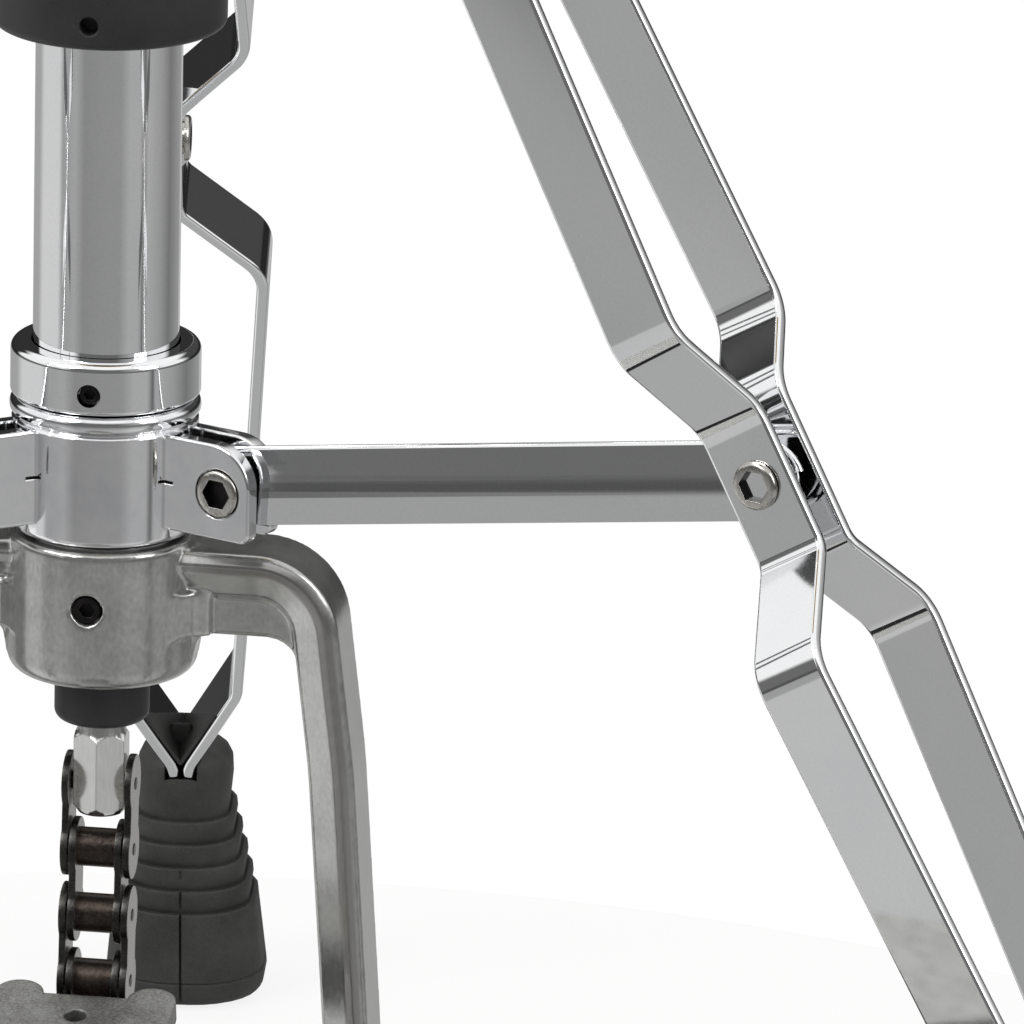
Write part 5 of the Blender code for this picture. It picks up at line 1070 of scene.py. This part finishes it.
addPiece("seatCup", worked(turned(profile), cuts=[hole]), blackPlastic, "mast", ["seat_cup"])
form = feltForm(cup["neck"] + fit, cup["felt"], feltBase, feltBase + cup["feltThick"])
pad = addPiece("seatFelt", form, felt, "mast", ["seat_felt"])
tiltScrew = {"radius": 2.0, "edge": 0.4, "length": 14.0, "head": 4.5, "headTop": 12.0, "headBase": 19.0,
             "teeth": 28}
top, radius, edge = high - fit, tiltScrew["radius"], tiltScrew["edge"]
shank = turned([(0.0, top - tiltScrew["length"]), (radius, top - tiltScrew["length"]), (radius, top - edge),
                (radius - edge, top), (0.0, top)], 32)
head = knurled(tiltScrew["head"], top - tiltScrew["headBase"], top - tiltScrew["headTop"], tiltScrew["teeth"])
form = worked(head, [shank])
addPiece("tiltScrew", placed(form, shift(x=cup["screw"])), boltSteel, "tilt", ["tilt_screw"],
         30)

clutch = {"head": 11.0, "sleeve": 6.0, "bore": 3.5, "seat": 6.6, "height": 24.0, "end": -19.464,
          "felt": 16.0, "feltTop": -3.164, "feltThick": 6.0, "nut": 11.0, "nutTop": -9.464, "nutHeight": 8.0,
          "nutTeeth": 48, "screw": 0.7}
seat, top = clutch["seat"], clutch["seat"] + clutch["height"]
skin = rounded([(clutch["bore"], top), (clutch["head"], top), (clutch["head"], seat),
                (clutch["sleeve"], seat)], (0, 1.8, 1.0, 0))
profile = [tuple(p) for p in skin] + [(clutch["sleeve"], clutch["end"] + 0.5),
                                      (clutch["sleeve"] - 0.5, clutch["end"]),
                                      (clutch["bore"], clutch["end"])]
hole = placed(alongX(rod(boss["bore"], 0, 30)), shift(z=seat + clutch["height"] / 2))
crest = shift(z=topCrest)
form = worked(turned(profile, 96), cuts=[hole])
addPiece("clutchBody", placed(form, crest), chrome, "clutch", ["clutch_body"])
bore = clutch["sleeve"] + fit
feltTop, thick = clutch["feltTop"], clutch["feltThick"]
for name, low in (("Upper", fit), ("Lower", feltTop - thick)):
    pad = addPiece("clutch%sFelt" % name, placed(feltForm(bore, clutch["felt"], low, low + thick), crest),
                   felt, "clutch", ["clutch_%s_felt" % name.lower()])
nutTop = clutch["nutTop"]
nut = knurled(clutch["nut"], nutTop - clutch["nutHeight"], nutTop, clutch["nutTeeth"])
form = worked(nut, cuts=[rod(bore, -40, 10)])
addPiece("clutchNut", placed(form, crest), castChrome, "clutch", ["clutch_nut"], 30)
screw = wingScrew(clutch["bore"], clutch["head"], clutch["screw"])
addPiece("clutchScrew", placed(screw, shift(z=seat + clutch["height"] / 2), crest), castChrome, "clutch_lock",
         ["clutch_screw"], 60)
print("seat and clutch made")


# Return spring, built as a fixed coil; on the real stand it shortens towards the flange above it as the rod
# goes down

spring = {"wire": 1.1, "radius": 8.0, "turns": 10, "low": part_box("return_spring")[0][2] / mm,
          "high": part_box("return_spring")[1][2] / mm, "travel": 31.6}
count = spring["turns"] * 32
low, tall = spring["low"] + spring["wire"], spring["high"] - spring["low"] - 2 * spring["wire"]
sections = []
for step in range(count + 1):
    angle = math.pi * step / 16
    ring = []
    for x, z in circle(spring["wire"], 12):
        out = spring["radius"] + x
        ring.append((out * math.cos(angle), out * math.sin(angle), low + tall * step / count + z))
    sections.append(ring)
coil = addPiece("returnSpring", loft(sections), satinSteel, "pull_rod", ["return_spring"])
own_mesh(coil)


# Solids that stay inside the tube: only their material is set

for name in ("rod_flange", "spring_seat"):
    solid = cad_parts[name]
    solid.data.materials.clear()
    solid.data.materials.append(satinSteel)
print("spring made")


# Floor, light and camera

ground = {"radius": 330.0, "thick": 6.0, "drop": 0.5, "white": 0.85}
disc = turned([(0.0, 0.0), (ground["radius"], 0.0), (ground["radius"], -ground["thick"]),
               (0.0, -ground["thick"])], 96)
floorForm = placed(disc, Matrix.Scale(mm, 4))
floorMesh = bpy.data.meshes.new("floor")
floorForm.to_mesh(floorMesh)
floorForm.free()
floor = bpy.data.objects.new("floor", floorMesh)
floor.location.z = -ground["drop"] * mm
# Painted board: a pale matt grey that shows the object's shadow and is lightened where it is seen directly
floorPaint = finish("paleFloor", {"colour": "#e4e4e2", "dark": "#dededc", "metallic": 0.0,
                                  "rough": (0.7, 0.8), "grainMm": 2.0, "cloudMm": 120, "bump": 0.02,
                                  "bumpMm": 0.05, "edgeMm": 0.5})
tree = floorPaint.node_tree
glow = addNode(tree, "ShaderNodeEmission", {"Color": (1.0, 1.0, 1.0, 1.0), "Strength": 1.0})
seen = addNode(tree, "ShaderNodeMath", {0: addNode(tree, "ShaderNodeLightPath").outputs["Is Camera Ray"],
                                        1: ground["white"]}, operation="MULTIPLY")
mixed = addNode(tree, "ShaderNodeMixShader", {
    0: seen.outputs[0], 1: tree.nodes["Principled BSDF"].outputs[0], 2: glow.outputs[0]})
tree.links.new(mixed.outputs[0], tree.nodes["Material Output"].inputs["Surface"])
floorMesh.materials.append(floorPaint)
floor.visible_glossy = False
scene.collection.objects.link(floor)

view = {"distance": 2.3638, "height": 0.9109, "around": 10.19, "yaw": 8.352, "pitch": 17.111, "roll": -1.196,
        "lens": 467.47, "sensor": 36.0}
yaw, pitch, roll, around = (math.radians(view[key]) for key in ("yaw", "pitch", "roll", "around"))
forward = Vector((-math.sin(yaw) * math.cos(pitch), math.cos(yaw) * math.cos(pitch), -math.sin(pitch)))
level = Vector((math.cos(yaw), math.sin(yaw), 0.0))
down = forward.cross(level)
right = math.cos(roll) * level + math.sin(roll) * down
down = math.cos(roll) * down - math.sin(roll) * level
lens = bpy.data.cameras.new("camera")
lens.sensor_width = view["sensor"]
lens.lens = view["lens"]
lens.clip_end = 50.0
camera = bpy.data.objects.new("camera", lens)
spot = Vector((view["distance"] * math.sin(around), -view["distance"] * math.cos(around), view["height"]))
camera.matrix_world = Matrix.Translation(spot) @ Matrix((right, -down, -forward)).transposed().to_4x4()
scene.collection.objects.link(camera)
scene.camera = camera


def grey(value):
    return (value, value, value, 1.0)


# Shiny faces see a room of grey cards, given by their share of a turn, with a dark skirting and lit
# walls above
def makeStudio():
    world = bpy.data.worlds.new("studio")
    scene.world = world
    world.use_nodes = True
    tree = world.node_tree
    tree.nodes.clear()
    where = addNode(tree, "ShaderNodeTexCoord").outputs["Generated"]
    faced = addNode(tree, "ShaderNodeMapping", {"Vector": where, "Rotation": (0, 0, math.radians(81.65))})
    parts = addNode(tree, "ShaderNodeSeparateXYZ", {"Vector": faced.outputs[0]})
    angle = addNode(tree, "ShaderNodeMath", {0: parts.outputs["Y"], 1: parts.outputs["X"]},
                    operation="ARCTAN2")
    share = addNode(tree, "ShaderNodeMath", {0: angle.outputs[0], 1: 0.5 / math.pi, 2: 0.5},
                    operation="MULTIPLY_ADD")
    cards = [(0.00, 0.36), (0.13, 0.38), (0.17, 0.64), (0.275, 0.64), (0.295, 0.34), (0.36, 0.38),
             (0.40, 0.26), (0.48, 0.28), (0.56, 0.29), (0.60, 0.40), (0.65, 0.40), (0.668, 0.13),
             (0.685, 0.41), (0.76, 0.32), (0.82, 0.19), (0.90, 0.30), (0.93, 0.32), (0.942, 0.52),
             (0.965, 0.52), (0.98, 0.36), (1.00, 0.36)]
    walls = [(0.00, 0.03), (0.135, 0.03), (0.155, 0.95), (0.36, 0.95), (0.39, 0.14), (0.55, 0.14),
             (0.66, 0.60), (0.72, 0.95), (0.80, 0.95), (0.84, 0.06)]
    skirting = [(0.00, 0.02), (0.14, 0.02), (0.17, 0.15), (0.80, 0.15), (0.84, 0.02)]
    room, upper, lower = (addRamp(tree, share.outputs[0], [(place, grey(value)) for place, value in stops])
                          for stops in (cards, walls, skirting))
    bright = addNode(tree, "ShaderNodeMix", {0: 1.0, 6: room, 7: grey(1.45)}, data_type="RGBA",
                     blend_type="MULTIPLY")
    layers = [(-0.32, -0.38, bright.outputs[2]), (-0.70, -0.90, grey(0.41)), (-0.20, -0.165, grey(0.085)),
              (-0.15, -0.10, lower), (0.06, 0.14, upper), (0.50, 0.66, grey(1.0))]
    for start, end, layer in layers:
        rise = addNode(tree, "ShaderNodeMapRange", {
            "Value": parts.outputs["Z"], "From Min": start, "From Max": end}, interpolation_type="SMOOTHSTEP")
        room = addNode(tree, "ShaderNodeMix", {0: rise.outputs[0], 6: room, 7: layer},
                       data_type="RGBA").outputs[2]
    shown = addNode(tree, "ShaderNodeBackground", {"Color": room, "Strength": 1.0})
    dome = addNode(tree, "ShaderNodeMapRange", {
        "Value": parts.outputs["Z"], "From Min": -1.0, "From Max": 1.0, "To Min": 0.45, "To Max": 0.95})
    soft = addNode(tree, "ShaderNodeBackground", {"Color": dome.outputs[0], "Strength": 1.0})
    paper = addNode(tree, "ShaderNodeBackground", {"Color": grey(1.0), "Strength": 1.0})
    path = addNode(tree, "ShaderNodeLightPath").outputs
    shiny = addNode(tree, "ShaderNodeMath", {0: path["Is Glossy Ray"], 1: path["Is Transmission Ray"]},
                    operation="MAXIMUM")
    lit = addNode(tree, "ShaderNodeMixShader", {0: shiny.outputs[0], 1: soft.outputs[0], 2: shown.outputs[0]})
    both = addNode(tree, "ShaderNodeMixShader",
                   {0: path["Is Camera Ray"], 1: lit.outputs[0], 2: paper.outputs[0]})
    addNode(tree, "ShaderNodeOutputWorld", {"Surface": both.outputs[0]})


def addLight(name, place, target, size, power):
    lamp = bpy.data.lights.new(name, "AREA")
    lamp.shape = "RECTANGLE"
    lamp.size, lamp.size_y = size
    lamp.energy = power
    holder = bpy.data.objects.new(name, lamp)
    holder.location = place
    holder.rotation_euler = (Vector(target) - Vector(place)).to_track_quat("-Z", "Y").to_euler()
    scene.collection.objects.link(holder)


makeStudio()
addLight("keyLight", (-1.6, -1.8, 2.2), (0.0, 0.0, 0.2), (1.2, 1.2), 40)
addLight("fillLight", (2.0, -0.9, 1.5), (0.0, 0.0, 0.2), (0.9, 1.4), 18)
print("floor, camera and light made")
